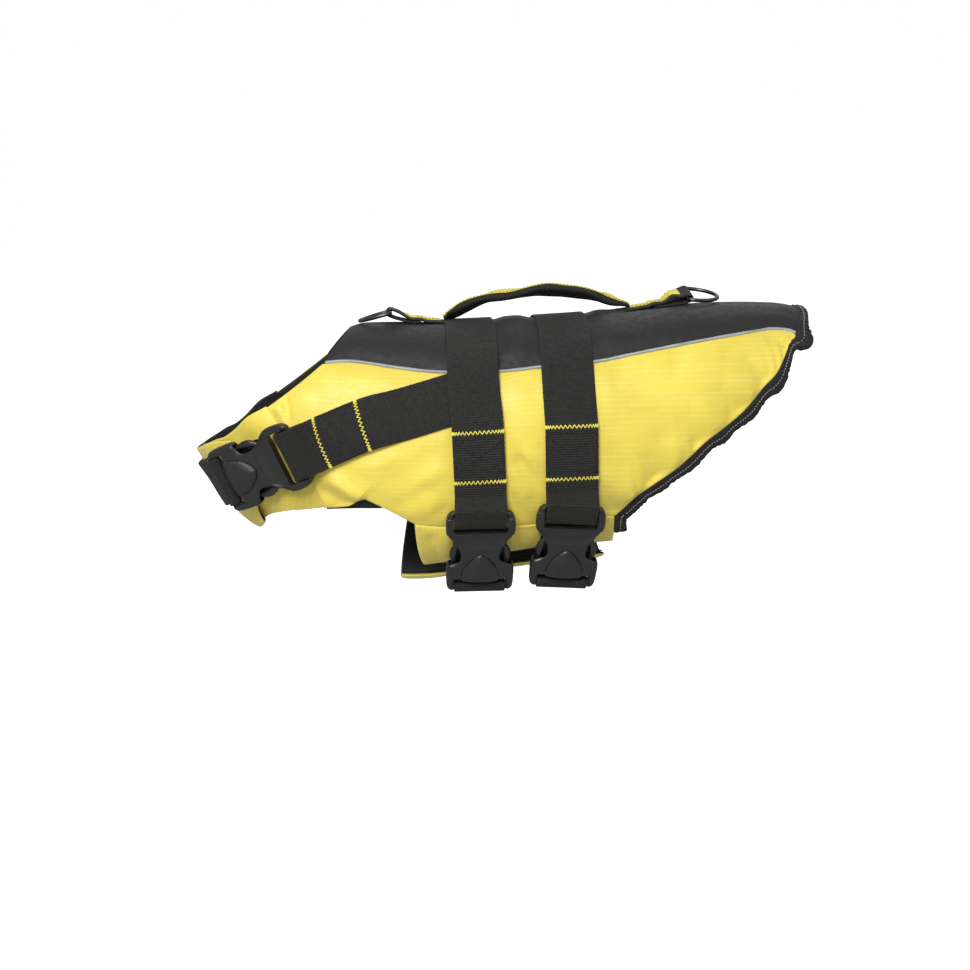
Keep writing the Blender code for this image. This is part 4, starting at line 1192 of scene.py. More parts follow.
class Finishes:
    """Every material of the jacket, made once."""

    def __init__(self) -> None:
        """Build them all."""
        self.side = Ripstop().make("yellow_ripstop_side")
        self.flap = Ripstop(along=0.45, down=1.0).make("yellow_ripstop_flap")
        self.back = WovenBlack().make("black_back_cloth")
        self.lining = WovenBlack(colour=(0.012, 0.0115, 0.0115),
                                 roughness=0.75).make("black_lining")
        self.webbing = WebbingFinish().make("black_webbing")
        self.narrow = WebbingFinish(width=0.025).make("black_narrow_webbing")
        self.binding = WebbingFinish(colour=(0.0105, 0.010, 0.0095), rib=0.0011, column=0.0016,
                                     width=0.2).make("elastic_binding")
        self.piping = PlainCord((0.36, 0.375, 0.38), 0.34, 0.25, 0.0007).make("reflective_piping")
        self.tape = PlainCord((0.80, 0.66, 0.07), 0.62, 0.0, 0.0011).make("yellow_tape")
        self.yellow_thread = PlainCord((0.86, 0.75, 0.10), 0.5, 0.0, 0.0006).make("yellow_thread")
        self.pale_thread = PlainCord((0.27, 0.265, 0.25), 0.6, 0.0, 0.0005).make("pale_thread")
        self.black_thread = PlainCord((0.005, 0.005, 0.005), 0.75, 0.0, 0.0006).make("black_thread")
        self.plastic = Moulded().make("buckle_plastic")
        self.steel = Steel().make("ring_steel")


# ---------------------------------------------------------------- the cut of the cloth
@dataclass(frozen=True)
class Edges:
    """Edges of the left pieces in the side view, rows of x and z."""
    piping: tuple[Row, ...] = (
        (-150, -19.5), (-133, -18), (-118, -19), (-93, -22.5), (-64, -25), (-21, -24.5),
        (9, -21.5), (49, -18), (82, -12), (128, -4), (175, 3), (186, 4), (197, 3), (203, 0.5))
    chest_seam: tuple[Row, ...] = ((-192, -52), (-184, -63), (-160, -103), (-150, -126))
    chest_hem: tuple[Row, ...] = ((-150, -126), (-133, -124), (-126, -120), (-120, -118))
    armhole: tuple[Row, ...] = ((-120, -118), (-102, -127), (-83, -138))
    belly_seam: tuple[Row, ...] = ((-83, -138), (-60, -140), (-12, -140), (6, -139),
                                   (55, -134.5), (66, -134))
    rear: tuple[Row, ...] = (
        (66, -134), (80, -119), (92, -110), (111, -96), (130, -78), (142, -69), (159, -55),
        (174, -38), (185, -27), (196, -8), (203, -1.5))
    belt_front: tuple[Row, ...] = ((-42, 7.5), (-41, -24), (-38, -64), (-36, -103), (-35.5, -114))
    belt_rear: tuple[Row, ...] = ((29.5, 11), (28.5, -21), (30, -64), (30.8, -101), (31.2, -111))
    chest_belt: tuple[Row, ...] = ((-50, -42), (-59, -45), (-88, -53.5), (-118.5, -62.5),
                                   (-142, -71.5), (-152, -75.5))
    back_front_x: float = -131.0
    back_rear_x: float = 213.0


EDGES = Edges()


@dataclass(frozen=True)
class Fold:
    """A soft ridge (rise above 0) or trough in the outer cloth, in the side view."""
    from_x: float
    from_z: float
    to_x: float
    to_z: float
    reach: float
    rise: float


def line_gap(side: Grid, start: Row, end: Row) -> tuple[Grid, Grid]:
    """Distance of x, z points from a straight line, and their share along it from 0 to 1.

    Args:
        side: x, z points.
        start: the line's start.
        end: its end.

    Returns:
        Distances and shares.
    """
    start, run = np.array(start, float), np.array(end, float) - np.array(start, float)
    along = (side - start) @ run / (run @ run)
    share = np.clip(along, 0, 1)
    return np.linalg.norm(side - start - share[..., None] * run, axis=-1), share


def fold_relief(points: Grid, folds: tuple[Fold, ...]) -> Grid:
    """Rise of the cloth: each fold a bell across its line that fades toward the line's end.

    Args:
        points: points of the cloth.
        folds: its folds.

    Returns:
        Millimetres at each point.
    """
    relief = np.zeros(points.shape[:-1])
    side = points[..., [0, 2]]
    for fold in folds:
        gap, share = line_gap(side, (fold.from_x, fold.from_z), (fold.to_x, fold.to_z))
        relief += fold.rise * (1 - 0.55 * share) * np.exp(-(gap / fold.reach) ** 2)
    return relief


def strap_clearance(points: Grid, lines: tuple[tuple[Row, ...], ...], half: float = 19.0,
                    reach: float = 13.0) -> Grid:
    """0 under the straps and 1 away from them, from the distance to their middle lines.

    Args:
        points: points of the cloth.
        lines: the straps' middle lines.
        half: half width that is 0.
        reach: millimetres from 0 to 1.

    Returns:
        A value for each point.
    """
    side = points[..., [0, 2]]
    nearest = np.full(points.shape[:-1], 1e3)
    for line in lines:
        for start, end in zip(line[:-1], line[1:]):
            nearest = np.minimum(nearest, line_gap(side, start, end)[0])
    return smooth_step((nearest - half) / reach)


def round_over(distance: Grid, radius: float) -> Grid:
    """How far a face sinks beside an edge that is rounded: a quarter circle."""
    inside = np.clip(radius - distance, 0, radius)
    return radius - np.sqrt(radius ** 2 - inside ** 2)


def pucker(run: Grid, distance: Grid, pitch: float, reach: float, seed: float) -> Grid:
    """Gathers square to a seam: a wandering wave along it that dies away from it."""
    wander = ripple(run, 1.7, pitch * 5.3, seed)
    strength = 0.55 + ripple(run, 0.45, pitch * 3.7, 2 * seed)
    return ripple(run, 1.0, pitch, wander) * strength * np.exp(-distance / reach)


@dataclass(frozen=True)
class Puckers:
    """Puckers beside a seam: their height, pitch, reach inward and phase."""
    height: float
    pitch: float
    reach: float
    phase: float

    def relief(self, run: Grid, distance: Grid, shift: float = 0.0) -> Grid:
        """Rise of the cloth at a length along the seam and a distance from it."""
        return self.height * pucker(run, distance, self.pitch, self.reach, self.phase + shift)


@dataclass
class QuiltedPanels:
    """The black back panel and the two yellow side panels, foam between cloth and lining."""
    finishes: Finishes
    detail: int = 7
    columns: int = 82
    under_strap: float = 0.45
    crown: float = 1.5
    fill: float = 0.8
    crown_reach: float = 26.0
    unevenness: float = 0.45
    fold_height: float = 1.5
    strap_slope: float = 3.5
    grip_front: float = -58.0
    grip_rear: float = 84.0
    grip_half: float = 13.0
    back_rise: float = 0.35
    back_crown: float = 0.65
    back_unevenness: float = 0.4
    bays: tuple[Row, ...] = ((1.9, -4, 15, 4), (1.5, 62, 14, 2))
    soft_edge: float = 7.0
    rear_from: float = 62.0
    rear_reach: float = 12.0
    noise_seeds: tuple[int, int] = (7, 11)
    noise_size: float = 44
    other_shift: float = 1.3
    piping_puckers: Puckers = Puckers(0.5, 15, 8, 0.4)
    rear_puckers: Puckers = Puckers(0.95, 13, 13, 1.1)
    hem_puckers: Puckers = Puckers(0.4, 17, 7, 2.0)
    back_puckers: tuple[Puckers, ...] = (Puckers(0.4, 14, 9, 0.7), Puckers(0.4, 14, 9, 2.2),
                                         Puckers(0.45, 16, 9, 0.3), Puckers(0.45, 16, 9, 1.9))
    folds: tuple[Fold, ...] = (
        Fold(-141, -104, -120, -118, 4.5, 2.6), Fold(-149, -113, -126, -124, 5.0, -2.0),
        Fold(-134, -92, -118, -101, 7.0, -1.3),
        Fold(-178, -41, -173, -60, 3.2, -2.2), Fold(-184, -48, -181, -62, 5.0, 1.3),
        Fold(-166, -36, -160, -52, 6.0, 0.9),
        Fold(-17, -73, -7, -89, 5.0, -1.5), Fold(-7, -89, 5, -106, 5.5, -2.4),
        Fold(-2, -86, 9, -96, 6.0, 1.1), Fold(-13, -117, -4, -129, 5.0, -1.9),
        Fold(-14, -99, -6, -113, 6.0, 1.0), Fold(3, -118, 8, -131, 5.0, -1.2),
        Fold(52, -83, 64, -105, 6.0, -1.6), Fold(52, -112, 67, -133, 5.5, -2.3),
        Fold(58, -101, 76, -120, 7.0, 1.3), Fold(97, -76, 92, -110, 10.0, -1.3),
        Fold(80, -118, 72, -98, 6.5, 1.5), Fold(95, -107, 86, -88, 5.5, -1.7),
        Fold(112, -95, 104, -78, 6.0, 1.3), Fold(126, -81, 113, -62, 6.5, -1.9),
        Fold(141, -69, 128, -50, 6.0, 1.4), Fold(157, -56, 141, -40, 6.0, -1.9),
        Fold(166, -46, 152, -28, 5.5, 1.2), Fold(176, -35, 162, -18, 5.0, -1.5),
        Fold(196, -9, 181, -3, 4.5, -1.4), Fold(156, -1, 146, -14, 5.0, -1.1),
        Fold(112, -10, 106, -26, 6.0, -1.0), Fold(67, -18, 64, -33, 6.0, -0.9),
        Fold(-84, -30, -96, -44, 7.0, -0.8), Fold(-72, -84, -90, -101, 9.0, -1.1),
        Fold(-76, -110, -96, -122, 6.0, -1.5), Fold(-62, -124, -75, -135, 5.0, -1.2),
        Fold(-104, -84, -112, -98, 8.0, 0.9), Fold(-68, -97, -84, -112, 6.0, 0.9),
    )

    def side_grid(self) -> Grid:
        """Stations and turns of the left side panel, rows along it and columns down it.

        Returns:
            The grid.
        """
        k = self.detail
        hem = chain(FORM.side_edge(EDGES.chest_seam, 6 * k + 1),
                    FORM.side_edge(EDGES.chest_hem, 3 * k + 1),
                    FORM.side_edge(EDGES.armhole, 2 * k + 1),
                    FORM.side_edge(EDGES.belly_seam, 6 * k + 1),
                    FORM.side_edge(EDGES.rear, 14 * k + 1))
        index = np.arange(len(hem))
        under_cord = 0.1 - 1.2 * smooth_step((index / index[-1] - 0.86) / 0.1)
        top = FORM.shifted(FORM.side_edge(EDGES.piping, len(hem)), under_cord)
        squeezed = np.r_[index[:-k], index[-k - 1] + 0.93 * np.arange(1, k + 1)]
        top = sampled(squeezed, index, top)
        grid = between(top, hem, np.linspace(0, 1, self.columns))
        return close_at_edges(grid)

    def relief(self, grid: Grid, gaps: Grid, noise: SoftNoise, folds: tuple[Fold, ...]) -> Grid:
        """Rise of a panel's face: crown between straps, folds, seam puckers, unevenness.

        Args:
            grid: rows x columns of station and turn.
            gaps: distances from its four edges.
            noise: its unevenness.
            folds: its folds.

        Returns:
            Millimetres at each point.
        """
        points = FORM.at(grid)
        near = gaps.min(0)
        free = strap_clearance(points, (EDGES.belt_front, EDGES.belt_rear, EDGES.chest_belt))
        rise = self.under_strap + (self.crown - self.under_strap) * free * smooth_step(
            near / self.crown_reach)
        rise = rise + self.unevenness * noise.at(points) * (0.25 + 0.75 * free)
        rise = rise + self.fold_height * fold_relief(points, folds) * (0.12 + 0.88 * free)
        steep = self.under_strap + self.strap_slope * free
        return np.where(free < 1, np.minimum(rise, steep), rise)

    def quilted(self, name: str, grid: Grid, rise: Grid, uv: Grid,
                cloth: bpy.types.Material, other: bool = False) -> None:
        """Make a panel, thick with foam inside and thin at its sewn edges.

        Args:
            name: the CAD node that it stands for.
            grid: its stations and turns.
            rise: rise of its face at each grid point.
            uv: its UV in metres.
            cloth: material of its face.
            other: whether it lies on the wearer's right.
        """
        near = FORM.edge_distances(grid).min(0)
        fill = smooth_step(near / CLOTH.taper)
        edge = round_over(near, CLOTH.edge / 2 - 0.1)
        outer = FORM.over(grid, rise - CLOTH.edge_drop * (1 - fill) - edge)
        inner = FORM.over(grid, edge - (CLOTH.edge_drop + CLOTH.edge) * (1 - fill)
                          - CLOTH.foam * fill)
        if other:
            outer, inner = mirrored(outer), mirrored(inner)
        made = put(name + "_cloth", wall(outer, inner, uv, lining=1),
                   [cloth, self.finishes.lining], "jacket", (name,))

    def side(self, other: bool) -> None:
        """Make one yellow side panel.

        Args:
            other: whether it lies on the wearer's right.
        """
        grid = self.side_grid()
        gaps = FORM.edge_distances(grid)
        soft = smooth_step(gaps.min(0) / self.soft_edge)
        points = FORM.at(grid)
        top, low = (run_length(points[:, column])[:, None] for column in (0, -1))
        rear = smooth_step((points[:, -1, 0] - self.rear_from) / self.rear_reach)[:, None]
        shift = self.other_shift if other else 0.0
        noise = SoftNoise(self.noise_seeds[other], self.noise_size)
        rise = self.relief(grid, gaps, noise, self.folds) * soft
        rise = rise + self.piping_puckers.relief(top, gaps[2], shift) * soft
        rise = rise + rear * self.rear_puckers.relief(low, gaps[3], shift) * soft
        rise = rise + (1 - rear) * self.hem_puckers.relief(low, gaps[3], shift) * soft
        self.quilted("side_panel_right" if other else "side_panel_left", grid, rise,
                     FORM.cloth_uv(grid), self.finishes.side, other)

    def back(self) -> None:
        """Make the black back panel."""
        count = 172
        side = FORM.shifted(FORM.side_edge(EDGES.piping, count), -0.1)
        top = FORM.top_station(np.linspace(EDGES.back_front_x, EDGES.back_rear_x, count))
        share = 1 - 2 * np.linspace(0, 1, 111)
        station = top[:, None] + (side[:, 0] - top)[:, None] * share ** 2
        grid = close_at_edges(np.stack([station, side[:, 1][:, None] * share], -1))
        gaps = FORM.edge_distances(grid)
        near = gaps.min(0)
        soft = smooth_step(near / 8)
        points = FORM.at(grid)
        run = run_length(points[:, len(share) // 2])[:, None]
        x = points[..., 0]
        below_grip = (smooth_step((x - self.grip_front) / 10)
                      * smooth_step((self.grip_rear - x) / 10))
        middle = np.maximum(smooth_step((np.abs(points[..., 1]) - self.grip_half) / 9),
                            below_grip)
        free = np.minimum(middle, strap_clearance(points, (EDGES.belt_front, EDGES.belt_rear)))
        bays = sum(height * hill(x, *bay) for height, *bay in self.bays)
        rise = self.back_rise + (self.back_crown + bays) * free * smooth_step(near / 24)
        rise = (rise + self.back_unevenness * free * SoftNoise(3, 52).at(points)) * soft
        for edge, puckers in enumerate(self.back_puckers):
            along = points[..., 1] if edge < 2 else run
            rise = rise + puckers.relief(along, gaps[edge]) * soft
        uv = np.stack([points[..., 0], np.cumsum(np.insert(np.linalg.norm(
            np.diff(points, axis=1), axis=-1), 0, 0, axis=1), axis=1)], -1) * MM
        self.quilted("back_panel", grid, rise, uv, self.finishes.back)

    def build(self) -> None:
        """Make the three panels."""
        self.back()
        self.side(False)
        self.side(True)


# ---------------------------------------------------------------- flaps
def make_flap(finishes: Finishes, name: str, grid: Grid, lift: Grid, thick: float, rise: Grid,
              nose: float, most: float) -> None:
    """Make a flap of yellow cloth and black lining, thin at its edges.

    Args:
        finishes: the jacket's materials.
        name: the CAD node that it stands for.
        grid: its stations and turns.
        lift: lift of its face.
        thick: its thickness.
        rise: unevenness of its face.
        nose: how much less than half the thickness its edge is rounded.
        most: the highest rise.
    """
    near = FORM.edge_distances(grid).min(0)
    fill = np.clip(near / (CLOTH.taper / 2), 0, 1)
    edge = round_over(near, thick / 2 - nose)
    outer = FORM.over(grid, lift - 0.7 * (1 - fill) - edge + np.minimum(rise, most))
    inner = FORM.over(grid, lift - thick + edge)
    made = put(name + "_cloth", wall(outer, inner, FORM.cloth_uv(grid), lining=1),
               [finishes.flap, finishes.lining], "jacket", (name,))


@dataclass
class ChestFlaps:
    """The two yellow chest flaps: the right one crosses the front and lies on the left one."""
    finishes: Finishes
    low: tuple[Row, ...] = ((2.79, 120), (2.55, 127), (2.32, 136), (2.18, 150), (2.19, 180))
    top: tuple[Row, ...] = ((0.76, 96), (0.64, 107), (0.64, 121), (0.63, 130), (0.55, 143),
                            (0.50, 180))
    overlap_top: tuple[Row, ...] = ((0.50, 180), (0.55, 143), (0.80, 126))
    overlap_low: tuple[Row, ...] = ((2.19, 180), (2.21, 152))
    overlap_end: tuple[Row, ...] = ((0.80, 126), (1.39, 130), (1.81, 135), (2.21, 152))
    grow: float = -1.0
    tuck: float = -4.3
    overlap: float = 1.3
    unevenness: float = 0.55
    soft_edge: float = 6.0
    puckers: Puckers = Puckers(0.45, 19, 9, 0.0)

    def tuck_lift(self, turn: Grid) -> Grid:
        """Lift of a flap that sinks under its buckle and toward the front."""
        return self.tuck * smooth_step((turn - radians(103)) / radians(20))

    def overlap_lift(self, turn: Grid) -> Grid:
        """Lift of the right flap: sunk under its buckle, it rises to cross the left flap."""
        rise = smooth_step((radians(213) - turn) / radians(22))
        return self.tuck_lift(2 * pi - turn) * (1 - rise) + self.overlap * rise

    def flap(self, name: str, grid: Grid, lift: Grid, seed: int) -> None:
        """Make a flap from its grid and lift.

        Args:
            name: the CAD node that it stands for.
            grid: rows x columns of station and turn.
            lift: lift of its face.
            seed: seed of its unevenness.
        """
        gaps = FORM.edge_distances(grid)
        soft = smooth_step(gaps.min(0) / self.soft_edge)
        points = FORM.at(grid)
        run = run_length(points[:, -1])[:, None]
        rise = self.unevenness * SoftNoise(seed, 34).at(points) * soft
        rise = rise + self.puckers.relief(run, gaps[3], 0.1 * seed) * soft
        make_flap(self.finishes, name, grid, lift, CLOTH.chest_flap, rise, 0.15, 0.45)

    def build(self) -> None:
        """Make both flaps."""
        count = 64
        seam = FORM.side_edge(EDGES.chest_seam, 61)
        end = curve_through(turned(((0.50, 184), (2.19, 182))), 61)
        grid = FORM.inset(coons(curve_through(turned(self.top), count),
                                curve_through(turned(self.low), count), seam, end),
                          self.grow)
        grid = close_at_edges(grid)
        self.flap("chest_flap_left", grid, self.tuck_lift(grid[..., 1]), 5)
        top = np.vstack([other_side(turned(self.top))[:-1], turned(self.overlap_top)])
        low = np.vstack([other_side(turned(self.low))[:-1], turned(self.overlap_low)])
        grid = FORM.inset(coons(curve_through(top, 2 * count), curve_through(low, 2 * count),
                                other_side(seam), curve_through(turned(self.overlap_end), 61)),
                          self.grow)
        grid = close_at_edges(grid)
        self.flap("chest_flap_right", grid, self.overlap_lift(grid[..., 1]), 8)
        self.hook_tape()

    def hook_tape(self) -> None:
        """The black hook tape inside the overlapping end."""
        end = curve_through(turned(self.overlap_end), 61)
        tape = close_at_edges(between(turned_by(turned_by(end, 5), 4), turned_by(end, 1),
                                      np.linspace(0, 1, 13)))
        lift = self.overlap - CLOTH.chest_flap - 2.3 * CLOTH.gap - CLOTH.facing / 2
        Facings(self.finishes).strip("chest_hook_tape", tape, lift)


@dataclass
class BellyFlaps:
    """The short left belly flap and the long right one that comes under the belly."""
    finishes: Finishes
    grow: float = -0.6
    hem_left: tuple[Row, ...] = ((4.19, 151), (4.60, 148.5), (5.00, 145.5), (5.40, 143.5),
                                 (5.80, 145), (6.14, 148))
    end_right: tuple[Row, ...] = ((3.98, 155), (4.38, 157), (5.00, 156), (5.40, 155),
                                  (5.80, 156), (6.05, 158))
    drop: float = 7.0
    unevenness: float = 0.5
    soft_edge: float = 6.0
    end_puckers: Puckers = Puckers(0.6, 21, 10, 0.0)
    seam_puckers: Puckers = Puckers(0.4, 12, 7, 0.0)
    folds: tuple[Fold, ...] = (Fold(-72, -150, -66, -168, 5.0, -1.6),
                               Fold(-60, -146, -56, -160, 6.0, 0.8),
                               Fold(-6, -143, -2, -156, 6.0, -1.0),
                               Fold(58, -138, 64, -150, 6.0, -1.2))

    def lift(self, turn: Grid) -> Grid:
        """Lift of the right belly flap: it leaves the form under the belly."""
        return self.drop * smooth_step((radians(215) - turn) / radians(50))

    def flap(self, name: str, grid: Grid, lift: Grid, seed: int) -> None:
        """Make a belly flap from its grid and lift.

        Args:
            name: the CAD node that it stands for.
            grid: rows x columns of station and turn.
            lift: lift of its face.
            seed: seed of its unevenness.
        """
        gaps = FORM.edge_distances(grid)
        points = FORM.at(grid)
        run = run_length(points[:, -1])[:, None]
        rise = self.unevenness * SoftNoise(seed, 30).at(points) + fold_relief(points, self.folds)
        rise = (rise + self.end_puckers.relief(run, gaps[3], 0.1 * seed)
                + self.seam_puckers.relief(run, gaps[2], 0.2 * seed))
        rise = rise * smooth_step(gaps.min(0) / self.soft_edge)
        make_flap(self.finishes, name, grid, lift, CLOTH.belly_flap, rise, 0.2, 0.5)

    def build(self) -> None:
        """Make both flaps and the hook tape."""
        seam = FORM.side_edge(EDGES.belly_seam[:-1] + ((64.5, -134),), 110)
        grid = between(seam, curve_through(turned(self.hem_left), 110), np.linspace(0, 1, 26))
        grid = close_at_edges(FORM.inset(grid, self.grow))
        self.flap("belly_flap_left", grid, np.zeros(grid.shape[:2]), 4)
        grid = between(other_side(seam), curve_through(turned(self.end_right), 110),
                       np.linspace(0, 1, 78))
        grid = close_at_edges(FORM.inset(grid, self.grow))
        self.flap("belly_flap_right", grid, self.lift(grid[..., 1]), 6)
        end = curve_through(turned(self.end_right), 90)
        tape = close_at_edges(between(turned_by(end, 14), turned_by(end, 1.5),
                                      np.linspace(0, 1, 16)))
        lift = self.lift(tape[..., 1]) - CLOTH.belly_flap - CLOTH.gap - CLOTH.facing / 2
        Facings(self.finishes).strip("belly_hook_tape", tape, lift)


@dataclass
class Facings:
    """Black strips inside hems: the armhole facings and the hook tapes."""
    finishes: Finishes

    def strip(self, name: str, grid: Grid, lift: Grid | float, other: bool = False) -> None:
        """Make a thin strip between two faces, its edges rounded.

        Args:
            name: the CAD node that it stands for.
            grid: rows x columns of station and turn.
            lift: lift of its middle.
            other: whether it lies on the wearer's right.
        """
        near = FORM.edge_distances(grid).min(0)
        half = CLOTH.facing / 2 - round_over(near, CLOTH.facing / 2 - 0.08)
        outer, inner = FORM.over(grid, lift + half), FORM.over(grid, lift - half)
        if other:
            outer, inner = mirrored(outer), mirrored(inner)
        made = put(name + "_cloth", wall(outer, inner, FORM.cloth_uv(grid)),
                   [self.finishes.lining], "jacket", (name,))

    def build(self) -> None:
        """Make the facing behind each armhole."""
        low = FORM.side_edge(((-150, -130), (-140, -129), (-126, -128), (-108, -127.5)), 60)
        high = FORM.side_edge(((-150, -123.5), (-140, -121.5), (-126, -119.5), (-108, -124)), 60)
        grid = close_at_edges(between(high, low, np.linspace(0, 1, 16)))
        lift = -CLOTH.edge_drop - CLOTH.edge - 2.6
        self.strip("armhole_facing_left", grid, lift)
        self.strip("armhole_facing_right", grid, lift, other=True)


# ---------------------------------------------------------------- edge trim
@dataclass
class Trim:
    """Reflective piping beside the back panel and gathered binding round the rear edge."""
    finishes: Finishes
    overlap: float = 1.6
    wrinkle: float = 0.42
    wrinkle_pitch: float = 5.6
    stitch_radius: float = 0.42
    stitch_length: float = 0.72
    stitch_sway: float = 0.42
    other_scallops: tuple[Row, ...] = ((1.35, 29, 0.9), (0.65, 17.5, 1.0))
    other_seed: float = 2.1
    groove_depth: float = 0.55
    groove_share: float = 0.46
    groove_width: float = 0.13
    corner_x: float = 203.5
    corner_overlap: float = 2.4
    corner_reach: float = 13.0
    stitch: float = 2.2
    around: int = 28
    scallops: tuple[Row, ...] = (
        (0, 1.5), (12, 0.7), (25, 1.8), (41, 0.8), (50, -0.7), (60, 0.4), (70, -1.0), (78, -0.5),
        (87, 0.8), (97, -0.2), (108, -1.0), (118, 0.9), (129, -1.3), (144, 0.8), (154, -0.6),
        (163, -0.4), (171, 2.2), (178, 1.2), (186, -1.2), (203, -3.3), (209, 0.0), (216, 4.2),
        (224, 1.4), (231, -1.6), (250, -1.8), (300, -1.5))

    def piping(self, other: bool) -> None:
        """One piping cord: a circle carried along the seam, its radius slightly uneven.

        Args:
            other: whether it lies on the wearer's right.
        """
        edge = FORM.side_edge(EDGES.piping, 430)[3:-1]
        points = FORM.over(edge, -CLOTH.piping_drop)
        run = run_length(points)
        radius = CLOTH.piping / 2 * (1 + 0.05 * np.sin(run / 3.1) + 0.04 * np.sin(run / 7.7))
        if other:
            points = mirrored(points)
        name = "piping_right" if other else "piping_left"
        made = put(name + "_cord", sweep(points, radius, 12), [self.finishes.piping], "jacket",
                   (name,))

    def rear_path(self, count: int) -> Grid:
        """The rear edge of the left half, from the belly up to the back's midline.

        Args:
            count: how many rows.

        Returns:
            Rows of station and turn.
        """
        low = np.array([[6.13, radians(139)]])
        side = FORM.side_edge(EDGES.rear, 30)
        corner, top = side[-1], FORM.top_station(EDGES.back_rear_x)
        share = np.linspace(1, 0, 10)[1:, None]
        station = top + (corner[0] - top) * share ** 2
        return curve_through(np.vstack([low, side, np.hstack([station, corner[1] * share])]),
                             count)

    def binding(self, other: bool) -> None:
        """One half of the binding: a rounded band with gathers, puckered along its stitching.

        Args:
            other: whether it lies on the wearer's right.
        """
        path = self.rear_path(470)
        seed = self.other_seed if other else 0.0
        centre = FORM.over(path, -CLOTH.edge_drop - CLOTH.edge / 2)
        normal = FORM.normal(path[:, 0], path[:, 1])
        out = unit(np.cross(unit(np.gradient(centre, axis=0)), normal))
        out *= np.sign(out[len(out) // 2, 0])
        run = run_length(centre)
        ease = smooth_step((run[-1] - run) / 6)
        scallop = sum(ripple(run, height, pitch, phase + seed)
                      for height, pitch, phase in self.other_scallops)
        scallop = ease * (scallop if other else curved(self.scallops, run))
        wander = ripple(run, 1.9, 37, seed) + ripple(run, 1.1, 19)
        gather = ripple(run, 1.0, self.wrinkle_pitch, wander)
        gather = gather * (0.6 + ripple(run, 0.4, 23, 2 + seed)) * ease
        angle = round_angles(self.around)
        across = 0.5 + 0.5 * signed_power(np.cos(angle), 0.75)
        high = 0.5 * signed_power(np.sin(angle), 0.7)
        groove = hill(across, self.groove_share, self.groove_width) * np.sign(high)
        groove = groove * (across > 0.1)
        corner = run[np.argmin(np.abs(centre[:, 0] - self.corner_x) + 1e3 * (path[:, 1] > 1.2))]
        overlap = self.overlap + self.corner_overlap * hill(run, corner, self.corner_reach)
        width = CLOTH.binding + scallop + overlap
        start = 2.8 * CLOTH.gap - overlap
        reach = start[:, None] + across[None, :] * width[:, None]
        reach = reach + 0.45 * self.wrinkle * gather[:, None] * smooth_step((across - 0.6) / 0.4)
        rise = high[None, :] * CLOTH.binding_thick - self.groove_depth * groove[None, :]
        swell = np.sign(high) * smooth_step(across / 0.25) * (1 - 0.75 * np.abs(groove))
        rise = rise + self.wrinkle * 1.3 * gather[:, None] * swell
        rings = (centre[:, None] + out[:, None] * reach[..., None]
                 + normal[:, None] * rise[..., None])
        rings[-1, :, 1] = 0.0
        if other:
            rings = mirrored(rings)
        u = np.cumsum(np.r_[0, np.hypot(np.diff(across), np.diff(high))]) * CLOTH.binding
        uv = np.stack(np.broadcast_arrays(u[None, :], run[:, None]), -1) * MM
        name = "rear_binding_right" if other else "rear_binding_left"
        made = put(name + "_elastic", tube(rings, uv), [self.finishes.binding], "jacket",
                   (name,))
        self.stitches(rings, run, other)

    def stitches(self, rings: Grid, run: Grid, other: bool) -> None:
        """Pale chain stitches down the middle of the band, on both of its faces.

        Args:
            rings: the band's rings of points.
            run: length along the band at each ring.
            other: whether it lies on the wearer's right.
        """
        at = np.arange(3, run[-1] - 2, self.stitch)
        side = "right" if other else "left"
        patches = []
        for column in (self.around // 4, 3 * self.around // 4):
            line = sampled(at, run, rings[:, column])
            tangent = unit(np.gradient(line, axis=0))
            outward = unit(rings[:, column] - rings[:, (column + self.around // 2) % self.around])
            outward = sampled(at, run, outward)
            across = unit(np.cross(outward, tangent))
            sway = self.stitch_sway * (-1.0) ** np.arange(len(at))[:, None]
            tangent = unit(tangent + sway * across)
            shape = stitch_shape(self.stitch * self.stitch_length, self.stitch_radius, 5)
            patches.append(scatter(shape, line + 0.14 * outward, tangent, outward))
        put("binding_stitches_" + side, joined(patches), [self.finishes.pale_thread], "jacket")

    def build(self) -> None:
        """Make both sides."""
        for other in (False, True):
            self.piping(other)
            self.binding(other)


def stitch_shape(length: float, radius: float, sides: int = 6) -> Patch:
    """One stitch: a short thread that bulges in its middle and dips at both ends."""
    share = np.linspace(-1, 1, 6)
    path = np.stack([share * length / 2, 0 * share, -0.75 * radius * share ** 4], -1)
    return sweep(path, radius * np.sqrt(1.04 - share ** 2 * 0.8), sides)


def scatter(shape: Patch, origins: Grid, along: Grid, outward: Grid) -> Patch:
    """Copies of a small shape, its x laid along and its z turned outward at each origin.

    Args:
        shape: the small shape.
        origins: a place for each copy.
        along: directions of its x.
        outward: directions of its z.

    Returns:
        The copies as one patch.
    """
    side = unit(np.cross(outward, along))
    up = np.cross(along, side)
    axes = np.stack([along, side, up], 1)
    points = np.einsum("pi,nij->npj", shape.points, axes) + origins[:, None]
    count = len(shape.points)
    quads = shape.quads[None] + np.arange(len(origins))[:, None, None] * count
    return Patch(points.reshape(-1, 3), quads.reshape(-1, 4), np.tile(shape.uv, (len(origins), 1)),
                 np.tile(shape.surface, len(origins)))


